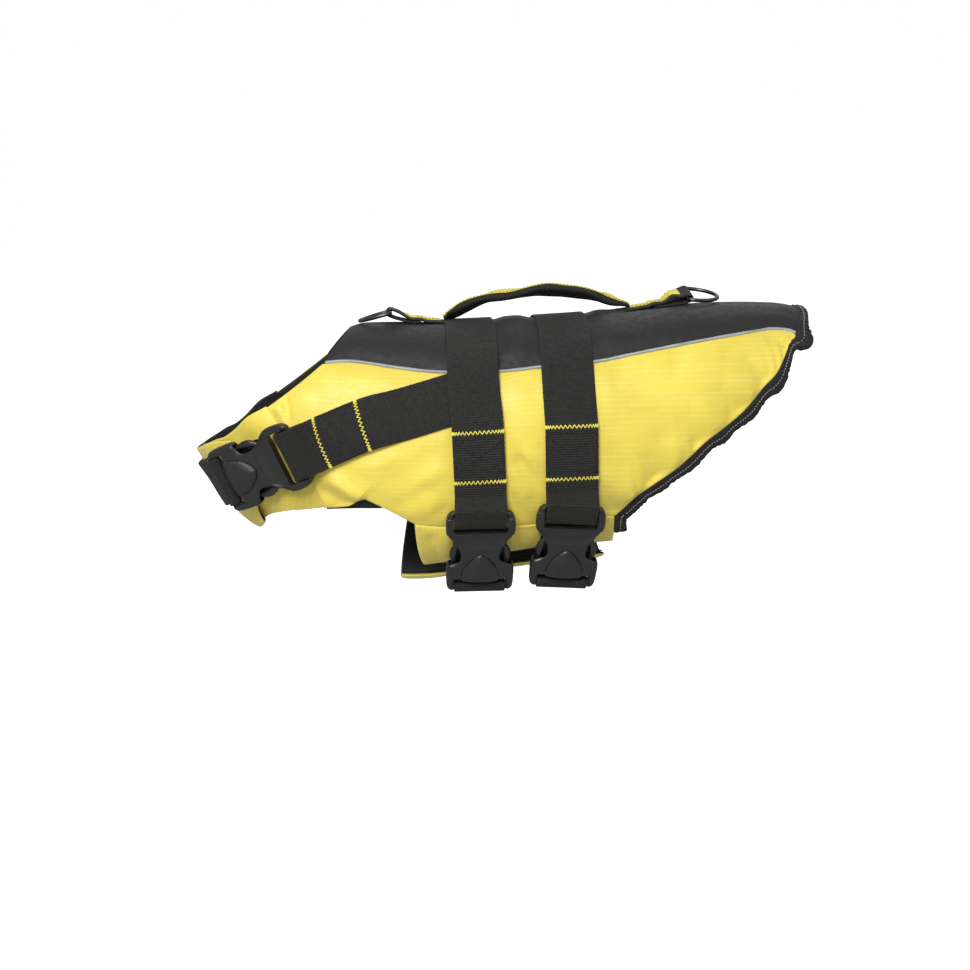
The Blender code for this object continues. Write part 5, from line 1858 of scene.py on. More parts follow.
# ---------------------------------------------------------------- webbing
def rows_on_form(line: Grid, lift: Grid | float, width: float, shares: Grid) -> Grid:
    """Rows of points across a strap that lies on the form, square to its run.

    Args:
        line: stations and turns down the strap's middle.
        lift: one lift or one for each point of the line.
        width: the strap's width.
        shares: places across, from -1 to 1.

    Returns:
        Rows x places x 3 points.
    """
    step = 1e-3
    stations, turns = line[:, 0], line[:, 1]
    centre = FORM.base(stations, turns)
    basis = np.stack([(FORM.base(stations + step, turns) - centre) / step,
                      (FORM.base(stations, turns + step) - centre) / step], -1)
    across = unit(np.cross(FORM.normal(stations, turns), np.gradient(centre, axis=0)))
    move = np.einsum("nij,nj->ni", np.linalg.pinv(basis), across * width / 2)
    lifts = np.broadcast_to(np.asarray(lift, float), stations.shape)
    return FORM.point(stations[:, None] + shares * move[:, :1],
                      turns[:, None] + shares * move[:, 1:], lifts[:, None])


def even_rows(rows: Grid, spacing: float = 1.0) -> Grid:
    """Rows of points evenly spaced along a strap, its corners softened by a short average.

    Args:
        rows: rows x places x 3 points.
        spacing: millimetres from row to row.

    Returns:
        The even rows.
    """
    run = run_length(rows[:, rows.shape[1] // 2])
    at = np.linspace(0, run[-1], int(run[-1] / spacing) + 1)
    flat = rows.reshape(len(rows), -1)
    even = sampled(at, run, flat)
    padded = np.vstack([2 * even[:1] - even[2:0:-1], even, 2 * even[-1:] - even[-2:-4:-1]])
    weights = np.array([1, 4, 6, 4, 1]) / 16
    soft = sum(weight * padded[i:i + len(even)] for i, weight in enumerate(weights))
    soft[0], soft[-1] = even[0], even[-1]
    return soft.reshape(len(even), -1, 3)


UNEVEN = 0.05  # half height of a ribbon's slow thick and thin places, mm


class Ribbon:
    """Webbing or tape: a thin solid about a grid of rows, with rounded selvedges."""

    def __init__(self, rows: Grid, shares: Grid, width: float, thick: float,
                 outward: Grid) -> None:
        """Work out both faces.

        Args:
            rows: points of the middle layer, evenly spaced rows.
            shares: places across of each column, from -1 to 1.
            width: the ribbon's width.
            thick: its thickness.
            outward: direction that the first row's face looks to.
        """
        normals = grid_normals(rows)
        if normals[0, len(shares) // 2] @ outward < 0:
            normals = -normals
        depth = np.clip((np.abs(shares) * width / 2 - (width / 2 - thick / 2)) / (thick / 2), 0, 1)
        run = run_length(rows[:, len(shares) // 2])
        wave = UNEVEN * (np.sin(run / 2.9) + np.sin(run / 7.3 + 1))
        half = thick / 2 * np.sqrt(1.06 - depth ** 2)[None, :] + (wave[:, None] * (depth < 0.5))
        self.rows = rows
        self.face = GridSurface(rows + normals * half[..., None], normals)
        back = rows - normals * half[..., None]
        uv = np.stack(np.broadcast_arrays(shares[None, :] * width / 2, run[:, None]), -1) * MM
        self.patch = wall(self.face.points, back, uv)

    def row_where(self, axis: int, value: float, last: int | None = None) -> float:
        """First row whose middle passes a coordinate."""
        line = self.rows[:last, self.rows.shape[1] // 2, axis] - value
        return float(np.argmax(np.sign(line[1:]) != np.sign(line[:-1])))


def zigzag(surface: GridSurface, row: float, tall: float, count: int, radius: float = 0.42,
           first: float = 0.03, last: float = 0.97, slant: float = 0.0) -> Patch:
    """A zigzag seam across a ribbon: a thread that goes up and down between two rows.

    Args:
        surface: the ribbon's face.
        row: fractional row of the seam's middle.
        tall: height of the zigzag along the ribbon.
        count: how many zigs.
        radius: the thread's radius.
        first: share across where it starts.
        last: share across where it ends.
        slant: rows that its far end lies ahead.

    Returns:
        The thread.
    """
    legs = 2 * count
    steps = np.linspace(0, legs, legs * 4 + 1)
    share = first + (last - first) * steps / legs
    phase = np.abs((steps + 1) % 2 - 1) - 0.5
    pitch = surface.run[-1] / (len(surface.run) - 1)
    rows = row + phase * tall / pitch + slant * (steps / legs)
    dip = np.abs(np.cos(pi * steps)) ** 6
    points, normals = surface.at(rows, share, radius * (0.75 - 0.7 * dip))
    return sweep(points, radius, 6, up=normals)


def seam_line(surface: GridSurface, start: Row, end: Row, pitch: float = 3.0,
              radius: float = 0.3) -> Patch:
    """A row of straight stitches on a ribbon, from one (row, share across) to another.

    Args:
        surface: the ribbon's face.
        start: first row and share.
        end: last row and share.
        pitch: length of a stitch and its gap.
        radius: the thread's radius.

    Returns:
        The stitches.
    """
    start, end = np.array(start, float), np.array(end, float)
    ends, _ = surface.at(np.array([start[0], end[0]]), np.array([start[1], end[1]]))
    count = max(2, int(np.linalg.norm(ends[1] - ends[0]) / pitch))
    middle = (np.arange(count) + 0.5)[:, None] / count
    at = start + (end - start) * middle
    points, normals = surface.at(at[:, 0], at[:, 1], 0.3 * radius)
    along = unit(np.gradient(points, axis=0))
    return scatter(stitch_shape(pitch * 0.8, radius), points, along, normals)


@dataclass(frozen=True)
class BuckleSpot:
    """Where a buckle lies: its webbing end, its far end and the way its face looks."""
    name: str
    start: Row
    end: Row
    outward: Row

    def frame(self) -> Grid:
        """Columns across, along, outward and the origin, as a 4x4 matrix.

        Returns:
            The matrix.
        """
        start, end = np.array(self.start, float), np.array(self.end, float)
        along = unit(end - start)
        outward = np.array(self.outward, float)
        outward = unit(outward - along * (outward @ along))
        matrix = np.eye(4)
        matrix[:3, 0], matrix[:3, 1] = np.cross(along, outward), along
        matrix[:3, 2], matrix[:3, 3] = outward, start
        return matrix

    def mirrored(self, name: str) -> "BuckleSpot":
        """The same place on the wearer's other side."""
        flip = np.array([1, -1, 1])
        return BuckleSpot(name, tuple(flip * self.start), tuple(flip * self.end),
                          tuple(flip * self.outward))


@dataclass(frozen=True)
class BuckleSize:
    """Sizes of a side-release buckle for 38 mm webbing."""
    length: float = 72.0
    bar: float = 5.0
    tongue: float = 4.0
    slot: float = 5.6
    slot_width: float = 40.0


BUCKLE = BuckleSize()
BELLY_FRONT = BuckleSpot("belly_buckle_front", (-35.5, -87.0, -124), (-35.0, -57, -188),
                         (0.0, -0.9, -0.45))
BELLY_REAR = BuckleSpot("belly_buckle_rear", (31.5, -87.0, -121), (26.5, -59, -186),
                        (0.0, -0.9, -0.45))
CHEST_LEFT = BuckleSpot("chest_buckle_left", (-164.4, -77.2, -81.2), (-225.8, -48.0, -108.4),
                        (-0.45, -0.85, -0.25))
CHEST_RIGHT = CHEST_LEFT.mirrored("chest_buckle_right")


def rows_in_frame(matrix: Grid, pairs: list[Row], width: float, shares: Grid) -> Grid:
    """Rows across a strap at pairs of along and outward in a buckle's axes.

    Args:
        matrix: the buckle's matrix.
        pairs: along and outward for each row.
        width: the strap's width.
        shares: places across, from -1 to 1.

    Returns:
        Rows x places x 3 points.
    """
    pairs = np.array(pairs, float)
    local = np.stack(np.broadcast_arrays(-shares[None, :] * width / 2, pairs[:, :1],
                                         pairs[:, 1:], 1.0), -1)
    return (local @ matrix.T)[..., :3]


def bar_wrap(bar_y: float, toward: int, slack: float = 0.0) -> list[Row]:
    """Pairs of along and outward round an end bar: a squared oval after the bar's corner.

    Args:
        bar_y: the bar's middle along the buckle.
        toward: +1 where the webbing turns back after the bar, -1 where before it.
        slack: how far the loop stands off the bar's far side.

    Returns:
        The pairs in their order round the bar.
    """
    reach = BUCKLE.tongue / 2 + CLOTH.gap + CLOTH.web / 2 + 0.2
    reach_y = BUCKLE.bar / 2 + CLOTH.gap + CLOTH.web / 2 + 0.3 + slack
    shoulders = {1: ((1.2, 3.1),), -1: ((1.5, 1.1), (0.7, 2.9))}[toward]
    pairs = [(bar_y - toward * (BUCKLE.bar / 2 + beyond), height) for beyond, height in shoulders]
    angle = np.radians(np.arange(90, -91, -9.0))
    pairs += list(zip(bar_y + toward * reach_y * np.abs(np.cos(angle)) ** 0.5,
                      reach * signed_power(np.sin(angle), 0.5)))
    return pairs


@dataclass
class Straps:
    """Belly and chest webbing with its stitched turn-backs."""
    finishes: Finishes
    belly: BellyFlaps
    chest: ChestFlaps
    shares: Grid = field(default_factory=lambda: cosine_shares(23))
    turn_back: tuple[float, float] = (radians(70), radians(82))
    crossing: tuple[float, ...] = (radians(34), radians(46), radians(78), radians(92))
    chest_turn_back_x: float = -116.0
    chest_rise: float = 20.0
    chest_zigzags: Row = (-122.0, -152.5)
    front_line: tuple[Row, ...] = ((1.22, 149), (1.20, 163), (1.18, 180))
    belly_slack: float = 9.0
    chest_slack: float = 7.8
    under_z: float = -150.0
    under_turn: float = radians(194)
    body_end: tuple[float, ...] = (radians(150), 0.25, radians(166))

    def laid(self, line: Grid, lift: Grid | float) -> Grid:
        """Rows of wide webbing that lies on the form along a line."""
        return rows_on_form(line, lift, CLOTH.web_wide, self.shares)

    def tongue_wrap(self, matrix: Grid, slack: float) -> Grid:
        """Rows of wide webbing round a tongue's end bar."""
        return rows_in_frame(matrix, bar_wrap(BUCKLE.bar / 2, 1, slack), CLOTH.web_wide,
                             self.shares)

    def body_wrap(self, matrix: Grid) -> Grid:
        """Rows of wide webbing round a body's end bar."""
        return rows_in_frame(matrix, bar_wrap(BUCKLE.length - BUCKLE.bar / 2, -1),
                             CLOTH.web_wide, self.shares)

    def webbing(self, name: str, rows: Grid, outward: Row) -> Ribbon:
        """Make one stretch of wide webbing.

        Args:
            name: the CAD node that it stands for.
            rows: its rows of points, in order.
            outward: direction that its first row's face looks to.

        Returns:
            Its ribbon.
        """
        ribbon = Ribbon(even_rows(rows), self.shares, CLOTH.web_wide, CLOTH.web,
                        np.array(outward, float))
        made = put(name + "_webbing", ribbon.patch, [self.finishes.webbing], "jacket",
                   (name,))
        return ribbon

    def crossing_lift(self, turn: Grid) -> Grid:
        """Extra lift of the front belly strap where it passes over a chest strap's end."""
        a, b, c, d = self.crossing
        up, down = smooth_step((turn - a) / (b - a)), smooth_step((turn - c) / (d - c))
        return (CLOTH.web_lift_2 - CLOTH.web_lift) * up * (1 - down)

    def turn_back_seams(self, name: str, ribbon: Ribbon, rows: list[float]) -> None:
        """Yellow zigzags across two rows of a strap and a black box with a cross between.

        Args:
            name: start of the seams' names.
            ribbon: the strap.
            rows: the two rows.
        """
        seams = [zigzag(ribbon.face, row, 2.7, 17, 0.4) for row in rows]
        put(name + "_zigzag", joined(seams), [self.finishes.yellow_thread], "jacket")
        near, far = rows[0] + 4.5, rows[1] - 4.5
        corners = ((near, 0.12), (near, 0.88), (far, 0.88), (far, 0.12))
        pairs = list(zip(corners, corners[1:] + corners[:1]))
        pairs += [(corners[0], corners[2]), (corners[1], corners[3])]
        box = [seam_line(ribbon.face, *pair, radius=0.36) for pair in pairs]
        put(name + "_box_stitch", joined(box), [self.finishes.black_thread], "jacket")

    def belly_strap(self, name: str, spot: BuckleSpot, side_line: tuple[Row, ...],
                    zigzags: Row) -> None:
        """One belly strap: back to tongue on the left, back to body round the right.

        Args:
            name: start of the two CAD nodes' names.
            spot: place of its buckle.
            side_line: its x and z from the back's midline down the left side.
            zigzags: z of the zigzag seams of its turn-back.
        """
        crosses = spot is BELLY_FRONT
        matrix = spot.frame()
        start = np.array([[float(FORM.top_station(side_line[0][0])), 0.0]])
        side = FORM.place(side_line[1:])
        line = curve_through(np.vstack([start, side]), 110)
        begin = self.crossing[:2] if crosses else self.turn_back
        doubled = smooth_step((line[:, 1] - begin[0]) / (begin[1] - begin[0]))
        step = CLOTH.web_lift_2 - CLOTH.web_lift
        front = self.laid(line, CLOTH.web_lift + step * doubled)
        front[0, :, 1] = -CLOTH.gap / 2
        back = self.laid(line[line[:, 1] > self.turn_back[1]], CLOTH.web_lift)[::-1]
        rows = np.vstack([front, self.tongue_wrap(matrix, self.belly_slack), back])
        ribbon = self.webbing(name + "_left", rows, (0, 0, 1))
        last = int(len(ribbon.rows) * 0.72)
        self.turn_back_seams(name, ribbon, [ribbon.row_where(2, z, last) for z in zigzags])

        end_x = (matrix @ np.array([0, BUCKLE.length, 0, 1]))[0]
        bottom = FORM.belly_station(float(end_x))
        under = np.vstack([FORM.place((side_line[-1][0], self.under_z)),
                           [[bottom, pi], [bottom, self.under_turn]]])
        line = curve_through(np.vstack([start, side, under]), 190)
        lift = CLOTH.web_lift + self.belly.lift(2 * pi - line[:, 1])
        if crosses:
            lift = lift + self.crossing_lift(line[:, 1])
        rise_turn, rise_reach, inner_turn = self.body_end
        more = (step + CLOTH.layer_spare) * smooth_step((line[:, 1] - rise_turn) / rise_reach)
        inner = line[:, 1] > inner_turn
        line = other_side(line)
        front = self.laid(line, lift + more)
        front[0, :, 1] = CLOTH.gap / 2
        back = self.laid(line[inner], lift[inner])[::-1]
        self.webbing(name + "_right", np.vstack([front, self.body_wrap(matrix)[:, ::-1], back]),
                     (0, 0, 1))

    def chest_straps(self) -> None:
        """The two chest straps and the strap between their buckles round the front."""
        matrix = CHEST_LEFT.frame()
        line = FORM.place(curve_through(EDGES.chest_belt, 90))
        x = FORM.at(line)[:, 0]
        step = CLOTH.web_lift_2 - CLOTH.web_lift
        ahead = (self.chest_turn_back_x + self.chest_rise - x) / self.chest_rise
        front = self.laid(line, CLOTH.web_lift + step * smooth_step(ahead))
        back = self.laid(line[x < self.chest_turn_back_x], CLOTH.web_lift)[::-1]
        rows = np.vstack([front, self.tongue_wrap(matrix, self.chest_slack), back])
        outward = FORM.normal(line[0, 0], line[0, 1])
        for name, points, look in (("chest_strap_left", rows, outward),
                                   ("chest_strap_right", mirrored(rows), mirrored(outward))):
            ribbon = self.webbing(name, points, look)
            last = int(len(ribbon.rows) * 0.62)
            self.turn_back_seams(name, ribbon,
                                 [ribbon.row_where(0, end, last) for end in self.chest_zigzags])
        half = curve_through(turned(self.front_line), 40)
        lift = self.chest.overlap + CLOTH.web_lift
        inner = self.laid(half[:20][::-1], lift)[:, ::-1]
        outer = self.laid(half, self.chest.overlap + CLOTH.web_lift_2 + 0.4)
        rows = np.vstack([inner, self.body_wrap(matrix)[::-1], outer])
        self.webbing("chest_strap_front", np.vstack([rows, mirrored(rows[:-1][::-1])]),
                     (-1, 0, 0))

    def build(self) -> None:
        """Make every strap."""
        self.belly_strap("belly_strap_front", BELLY_FRONT, EDGES.belt_front, (-68.0, -104.0))
        self.belly_strap("belly_strap_rear", BELLY_REAR, EDGES.belt_rear, (-64.0, -102.0))
        self.chest_straps()


# ---------------------------------------------------------------- handle and leash rings
@dataclass
class Handle:
    """The padded grip, its webbing round the leash rings, the yellow tape and the rings."""
    finishes: Finishes
    front_bar: Row = (-99.5, 14.0)
    rear_bar: Row = (129.0, 27.0)
    back_round: float = 110.0
    tape: float = 0.9
    tape_width: float = 15.0
    grip_width: float = 20.0
    grip_thick: float = 6.0
    wire: float = 3.0
    ring_bar: float = 28.5
    ring_depth: float = 24.0
    tuck: float = 13.0
    rear_roll: float = radians(14)
    row_pitch: float = 0.7
    strip_columns: int = 19
    lead: float = 6.0
    lead_roll: float = 0.8
    flat_near: float = 4.0
    flat_far: float = 12.0
    flat_beyond: float = 17.0
    arch: float = 2.8
    tape_gap: float = 0.1
    tape_rest: float = 0.05
    tape_edge: float = 0.3
    seam_in: float = 3.0
    seams_apart: float = 14.0
    seam_shares: Row = (0.08, 0.92)
    tape_seam_shares: Row = (0.09, 0.91)
    seam_stitch: float = 2.4
    tape_stitch: float = 2.6
    tape_thread: float = 0.24
    twist: float = radians(23)
    lumps: tuple[Row, ...] = ((0.10, 6.1, 0.0), (0.07, 3.3, 1.2))
    end_narrow: float = 1.2
    lump_width: float = 1.6
    end_thick: float = 3.0
    lump_less: float = 2.6
    grip_points: int = 36
    ring_corner: float = 1.2
    ring_spare: float = 0.3
    ring_rest_share: float = 0.8
    bow_power: float = 0.8
    ring_steps: int = 180
    ring_sides: int = 20
    grip_line: tuple[Row, ...] = (
        (-58.8, 9.6), (-51.5, 12.2), (-42, 17.5), (-30, 22.4), (-18.5, 25.4), (0, 27.6),
        (16, 29.9), (31, 29.4), (50, 27.0), (66, 23.2), (76, 20.2), (83, 18.6))

    def strip(self, name: str, line: Grid, width: float, thick: float,
              surface: bpy.types.Material, slot: str) -> Ribbon:
        """A strip across the midline plane, rolled with the rear ring where its line says so.

        Args:
            name: the CAD node that it stands for.
            line: rows of x, z, how far the strip hugs the round of the back, and its share of
                the rear ring's roll.
            width: the strip's width.
            thick: its thickness.
            surface: its material.
            slot: not used.

        Returns:
            Its ribbon.
        """
        shares = cosine_shares(self.strip_columns)
        y = shares[None, :] * width / 2
        turn = line[:, 3:] * self.rear_roll
        rise = (line[:, 1:2] - self.rear_bar[1]) * line[:, 3:]
        z = line[:, 1:2] - line[:, 2:3] * y ** 2 / (2 * self.back_round)
        rows = np.stack(np.broadcast_arrays(line[:, :1], y * np.cos(turn) - rise * np.sin(turn),
                                            z + y * np.sin(turn) - rise * (1 - np.cos(turn))), -1)
        rows = even_rows(rows, self.row_pitch)
        ribbon = Ribbon(rows, shares, width, thick, np.array([0, 0, 1.0]))
        made = put(name + "_woven", ribbon.patch, [surface], "jacket", (name,))
        return ribbon

    def loop_line(self, bar: Row, flat_x: float, end_x: float) -> tuple[Grid, Grid]:
        """Lines of a ring's webbing and of the tape on its upper layer.

        The webbing runs from under the flat stretch's near end up round the ring's bar and
        back over itself to the handle, where it is tucked under the grip.

        Args:
            bar: x and z of the ring's bar.
            flat_x: x at the ring's end of the flat stretch.
            end_x: x at its handle end.

        Returns:
            The two lines, as rows for strip.
        """
        side = 1 if bar[0] > end_x else -1

        def on_back(x: float, lift: float) -> Row:
            """A row of the line where it lies on the back."""
            z = FORM.base(FORM.top_station(x), 0.0)[2]
            return (x, float(z) + lift, 1.0, 0.0)

        round_bar = self.wire / 2 + CLOTH.gap + CLOTH.web / 2
        low, high = CLOTH.web_lift, CLOTH.web_lift_2
        line = [on_back(flat_x - side * x, low) for x in (self.flat_far, self.flat_near)]
        centre = np.array(bar)
        toward = unit(centre - np.array([line[-1][0], line[-1][1] + CLOTH.web / 2]))
        across = np.array([toward[1], -toward[0]]) * side
        roll = 1.0 if side > 0 else 0.0
        line.append((*(centre - self.lead * toward + round_bar * across), 0.0,
                     self.lead_roll * roll))
        for turn in np.linspace(0, pi, 19):
            line.append((*(centre + round_bar * (toward * sin(turn) + across * cos(turn))), 0.0,
                         roll))
        line.append((*(centre - self.lead * toward - round_bar * across), 0.0,
                     self.lead_roll * roll))
        top = len(line) - 1
        foot = on_back(flat_x - side * self.flat_near, high)
        arch = (np.array(line[-1]) + np.array(foot)) / 2
        arch[1] += self.arch * roll
        line += [tuple(arch), foot, on_back(flat_x - side * self.flat_far, high),
                 on_back(flat_x - side * self.flat_beyond, low + 0.6), on_back(end_x, low)]
        tape = np.array(line[top if side > 0 else top + 1:])
        line.append(on_back(end_x - side * self.tuck, low - 0.5))
        run = unit(np.gradient(tape[:, :2], axis=0))
        up = np.stack([-run[:, 1], run[:, 0]], -1)
        up *= np.sign(up[:, 1:])
        tape[:, :2] += up * (CLOTH.web / 2 + self.tape_gap + self.tape / 2)
        return np.array(line), tape

    def ring_webbing(self) -> None:
        """Webbing and yellow tape between the grip and each leash ring."""
        for end, bar, flat_x, end_x in (("front", self.front_bar, -88.0, -61.6),
                                        ("rear", self.rear_bar, 114.0, 84.0)):
            line, tape = self.loop_line(bar, flat_x, end_x)
            ribbon = self.strip("ring_webbing_" + end, line, CLOTH.web_narrow, CLOTH.web,
                                self.finishes.narrow, "black_webbing")
            over = self.strip("ring_tape_" + end, tape, self.tape_width, self.tape,
                              self.finishes.tape, "yellow_tape")
            covered = (abs(flat_x - end_x) + self.tuck) / self.row_pitch
            first = len(ribbon.rows) - covered - self.seam_in
            left, right = self.seam_shares
            seams = [seam_line(ribbon.face, (row, left), (row, right), self.seam_stitch)
                     for row in (first, first + self.seams_apart)]
            rows = len(over.rows) - 2.0
            for share in self.seam_shares:
                seams.append(seam_line(over.face, (12.0, share), (rows, share),
                                       self.tape_stitch, self.tape_thread))
            put(f"ring_webbing_{end}_stitches", joined(seams), [self.finishes.black_thread],
                "jacket")

    def grip(self) -> None:
        """The lumpy padded roll, thin at its sewn ends, with tape that twists along its top."""
        line = curve_through(self.grip_line, 260)
        run = run_length(line)
        tangent = unit(np.gradient(line, axis=0))
        normal = np.stack([-tangent[:, 1], tangent[:, 0]], -1)
        ends = eased(run, 16, 14)
        twist = hill(line[:, 0], -12, 17) + 1.1 * hill(line[:, 0], 69, 13) - 0.75
        twist = self.twist * twist * eased(run, 5, 8)
        lump = 1 + sum(height * np.sin(run / reach + phase)
                       for height, reach, phase in self.lumps)
        width = (self.grip_width - self.end_narrow + self.lump_width * ends * lump) / 2
        thick = (self.end_thick + (self.grip_thick - self.lump_less) * ends * lump) / 2
        count = self.grip_points
        angle = round_angles(count)
        across = signed_power(np.cos(angle), 0.6)
        high = signed_power(np.sin(angle), 0.75)
        side = across[None, :] * width[:, None]
        lift = high[None, :] * thick[:, None] * (1 - 0.12 * np.abs(across[None, :]) ** 4)
        rings = self.turned_section(line, normal, twist, side, lift)
        u = np.cumsum(np.r_[0, np.full(count - 1, 46 / count)]) - 23
        uv = np.stack(np.broadcast_arrays(u[None, :], run[:, None]), -1) * MM
        made = put("handle_grip_padded", tube(rings, uv), [self.finishes.narrow], "jacket",
                   ("handle_grip",))

        shares = cosine_shares(17)
        side = np.broadcast_to(shares * self.tape_width / 2, (len(line), len(shares)))
        lift = thick[:, None] + self.tape / 2 + self.tape_rest
        lift = lift - self.tape_edge * shares[None, :] ** 4
        rows = self.turned_section(line, normal, twist, side, np.broadcast_to(lift, side.shape))
        ribbon = Ribbon(rows, shares, self.tape_width, self.tape, np.array([0, 0, 1.0]))
        made = put("handle_tape_woven", ribbon.patch, [self.finishes.tape], "jacket",
                   ("handle_tape",))
        last = len(rows) - 4.0
        seams = [seam_line(ribbon.face, (3.0, share), (last, share), self.tape_stitch,
                           self.tape_thread) for share in self.tape_seam_shares]
        put("handle_tape_stitches", joined(seams), [self.finishes.black_thread], "jacket")

    @staticmethod
    def turned_section(line: Grid, normal: Grid, twist: Grid, side: Grid, lift: Grid) -> Grid:
        """Sections of side and lift carried along the line and turned about it by the twist.

        Args:
            line: x and z down the middle.
            normal: its normals.
            twist: turn at each row.
            side: places across.
            lift: heights.

        Returns:
            Rows x places x 3 points.
        """
        turn = twist[:, None]
        y = side * np.cos(turn) - lift * np.sin(turn)
        up = side * np.sin(turn) + lift * np.cos(turn)
        return np.stack([line[:, :1] + normal[:, :1] * up, y, line[:, 1:] + normal[:, 1:] * up],
                        -1)

    def ring(self, name: str, bar: Row, toward: int, body: str, roll: float = 0.0) -> None:
        """A welded D ring: a circle carried round a straight bar and a bow, and rolled.

        Args:
            name: the CAD node that it stands for.
            bar: x and z of its bar.
            toward: 1 where its bow points to the rear, -1 where it points to the front.
            body: the body that it moves with.
            roll: its roll about the wearer's long axis.
        """
        half = self.ring_bar / 2 + self.wire / 2
        bow_x = bar[0] + toward * self.ring_depth
        rest = float(FORM.base(FORM.top_station(bow_x), 0.0)[2]) + self.wire / 2 + CLOTH.gap
        rest += self.ring_spare + self.ring_rest_share * self.ring_bar / 2 * sin(roll)
        tilt = np.arcsin((rest - bar[1]) / self.ring_depth)
        straight = np.linspace(-half + self.ring_corner, half - self.ring_corner, 40)
        turn = np.linspace(pi / 2, -pi / 2, 121)[3:-3]
        reach = np.r_[np.zeros(40), self.ring_depth * np.cos(turn) ** self.bow_power]
        y = np.r_[straight, half * np.sin(turn)]
        outline = np.stack([reach, y], -1)
        outline = np.vstack([outline, outline[:1]])
        run = run_length(outline)
        outline = sampled(np.linspace(0, run[-1], self.ring_steps + 1)[:-1], run, outline)
        weights = np.exp(-np.linspace(-1.8, 1.8, 7) ** 2)
        weights /= weights.sum()
        outline = sum(weight * np.roll(outline, shift, 0)
                      for weight, shift in zip(weights, range(-3, 4)))
        path = np.stack([bar[0] + toward * outline[:, 0] * cos(tilt), outline[:, 1],
                         bar[1] + outline[:, 0] * sin(tilt)], -1)
        tangent = unit(np.roll(path, -1, 0) - np.roll(path, 1, 0))
        flat = np.array([-sin(tilt) * toward, 0, cos(tilt)])
        across = unit(np.cross(tangent, flat))
        angle = round_angles(self.ring_sides)
        rings = path[:, None] + self.wire / 2 * (
            across[:, None] * np.cos(angle)[None, :, None] + flat * np.sin(angle)[None, :, None])
        middle = np.array([bar[0], 0.0, bar[1]])
        rings = (rings - middle) @ np.array(Matrix.Rotation(roll, 3, "X")).T + middle
        made = put(name + "_steel", tube(rings, closed=True, uv=np.zeros((*rings.shape[:2], 2))),
                   [self.finishes.steel], body, (name,))
        LOG.info("%s rides on %s", made.name, body)

    def build(self) -> None:
        """Make the handle and both rings."""
        self.ring_webbing()
        self.grip()
        self.ring("leash_ring_front", self.front_bar, -1, "front_ring")
        self.ring("leash_ring_rear", self.rear_bar, 1, "rear_ring", self.rear_roll)


# ---------------------------------------------------------------- buckles
def slab(outline: Grid, y: Grid, shares: Grid, top: Grid, low: Grid) -> Patch:
    """A moulded solid: half widths along y, with heights of its upper and lower face.

    Args:
        outline: half width for each y.
        y: places along the piece.
        shares: places across, from -1 to 1.
        top: height of the upper face at each grid point.
        low: height of the lower face.

    Returns:
        The closed solid.
    """
    x = outline[:, None] * shares[None, :]
    depth = np.broadcast_to(y[:, None], x.shape)
    return wall(np.stack([x, depth, top], -1), np.stack([x, depth, low], -1),
                np.stack([x, depth], -1) * MM)


def outline_gap(outline: Grid, y: Grid, shares: Grid) -> Grid:
    """Distance inward from the outline of a slab, measured square to its sides and ends.

    Args:
        outline: half width for each y.
        y: places along the piece.
        shares: places across, from -1 to 1.

    Returns:
        Distances on the slab's grid.
    """
    x = np.abs(outline[:, None] * shares[None, :])
    slope = np.gradient(outline, y)[:, None]
    side = (outline[:, None] - x) / np.sqrt(1 + slope ** 2)
    ends = np.minimum(y - y[0], y[-1] - y)[:, None]
    return np.minimum(side, ends)


def block(size: Row, centre: Row, radius: float = 0.8) -> Patch:
    """A cutter: a box with softened upright corners, its length and width on a grid.

    Args:
        size: width, length and height.
        centre: its middle.
        radius: radius of its corners.

    Returns:
        The cutter.
    """
    y = np.linspace(-size[1] / 2, size[1] / 2, 15)
    corner = np.clip(np.abs(y) - (size[1] / 2 - radius), 0, radius)
    half = size[0] / 2 - radius + np.sqrt(np.maximum(radius ** 2 - corner ** 2, 0.02))
    shares = np.linspace(-1, 1, 9)
    high = np.full((len(y), len(shares)), size[2] / 2)
    patch = slab(half, y, shares, high, -high)
    patch.points = patch.points + np.array(centre)
    return patch


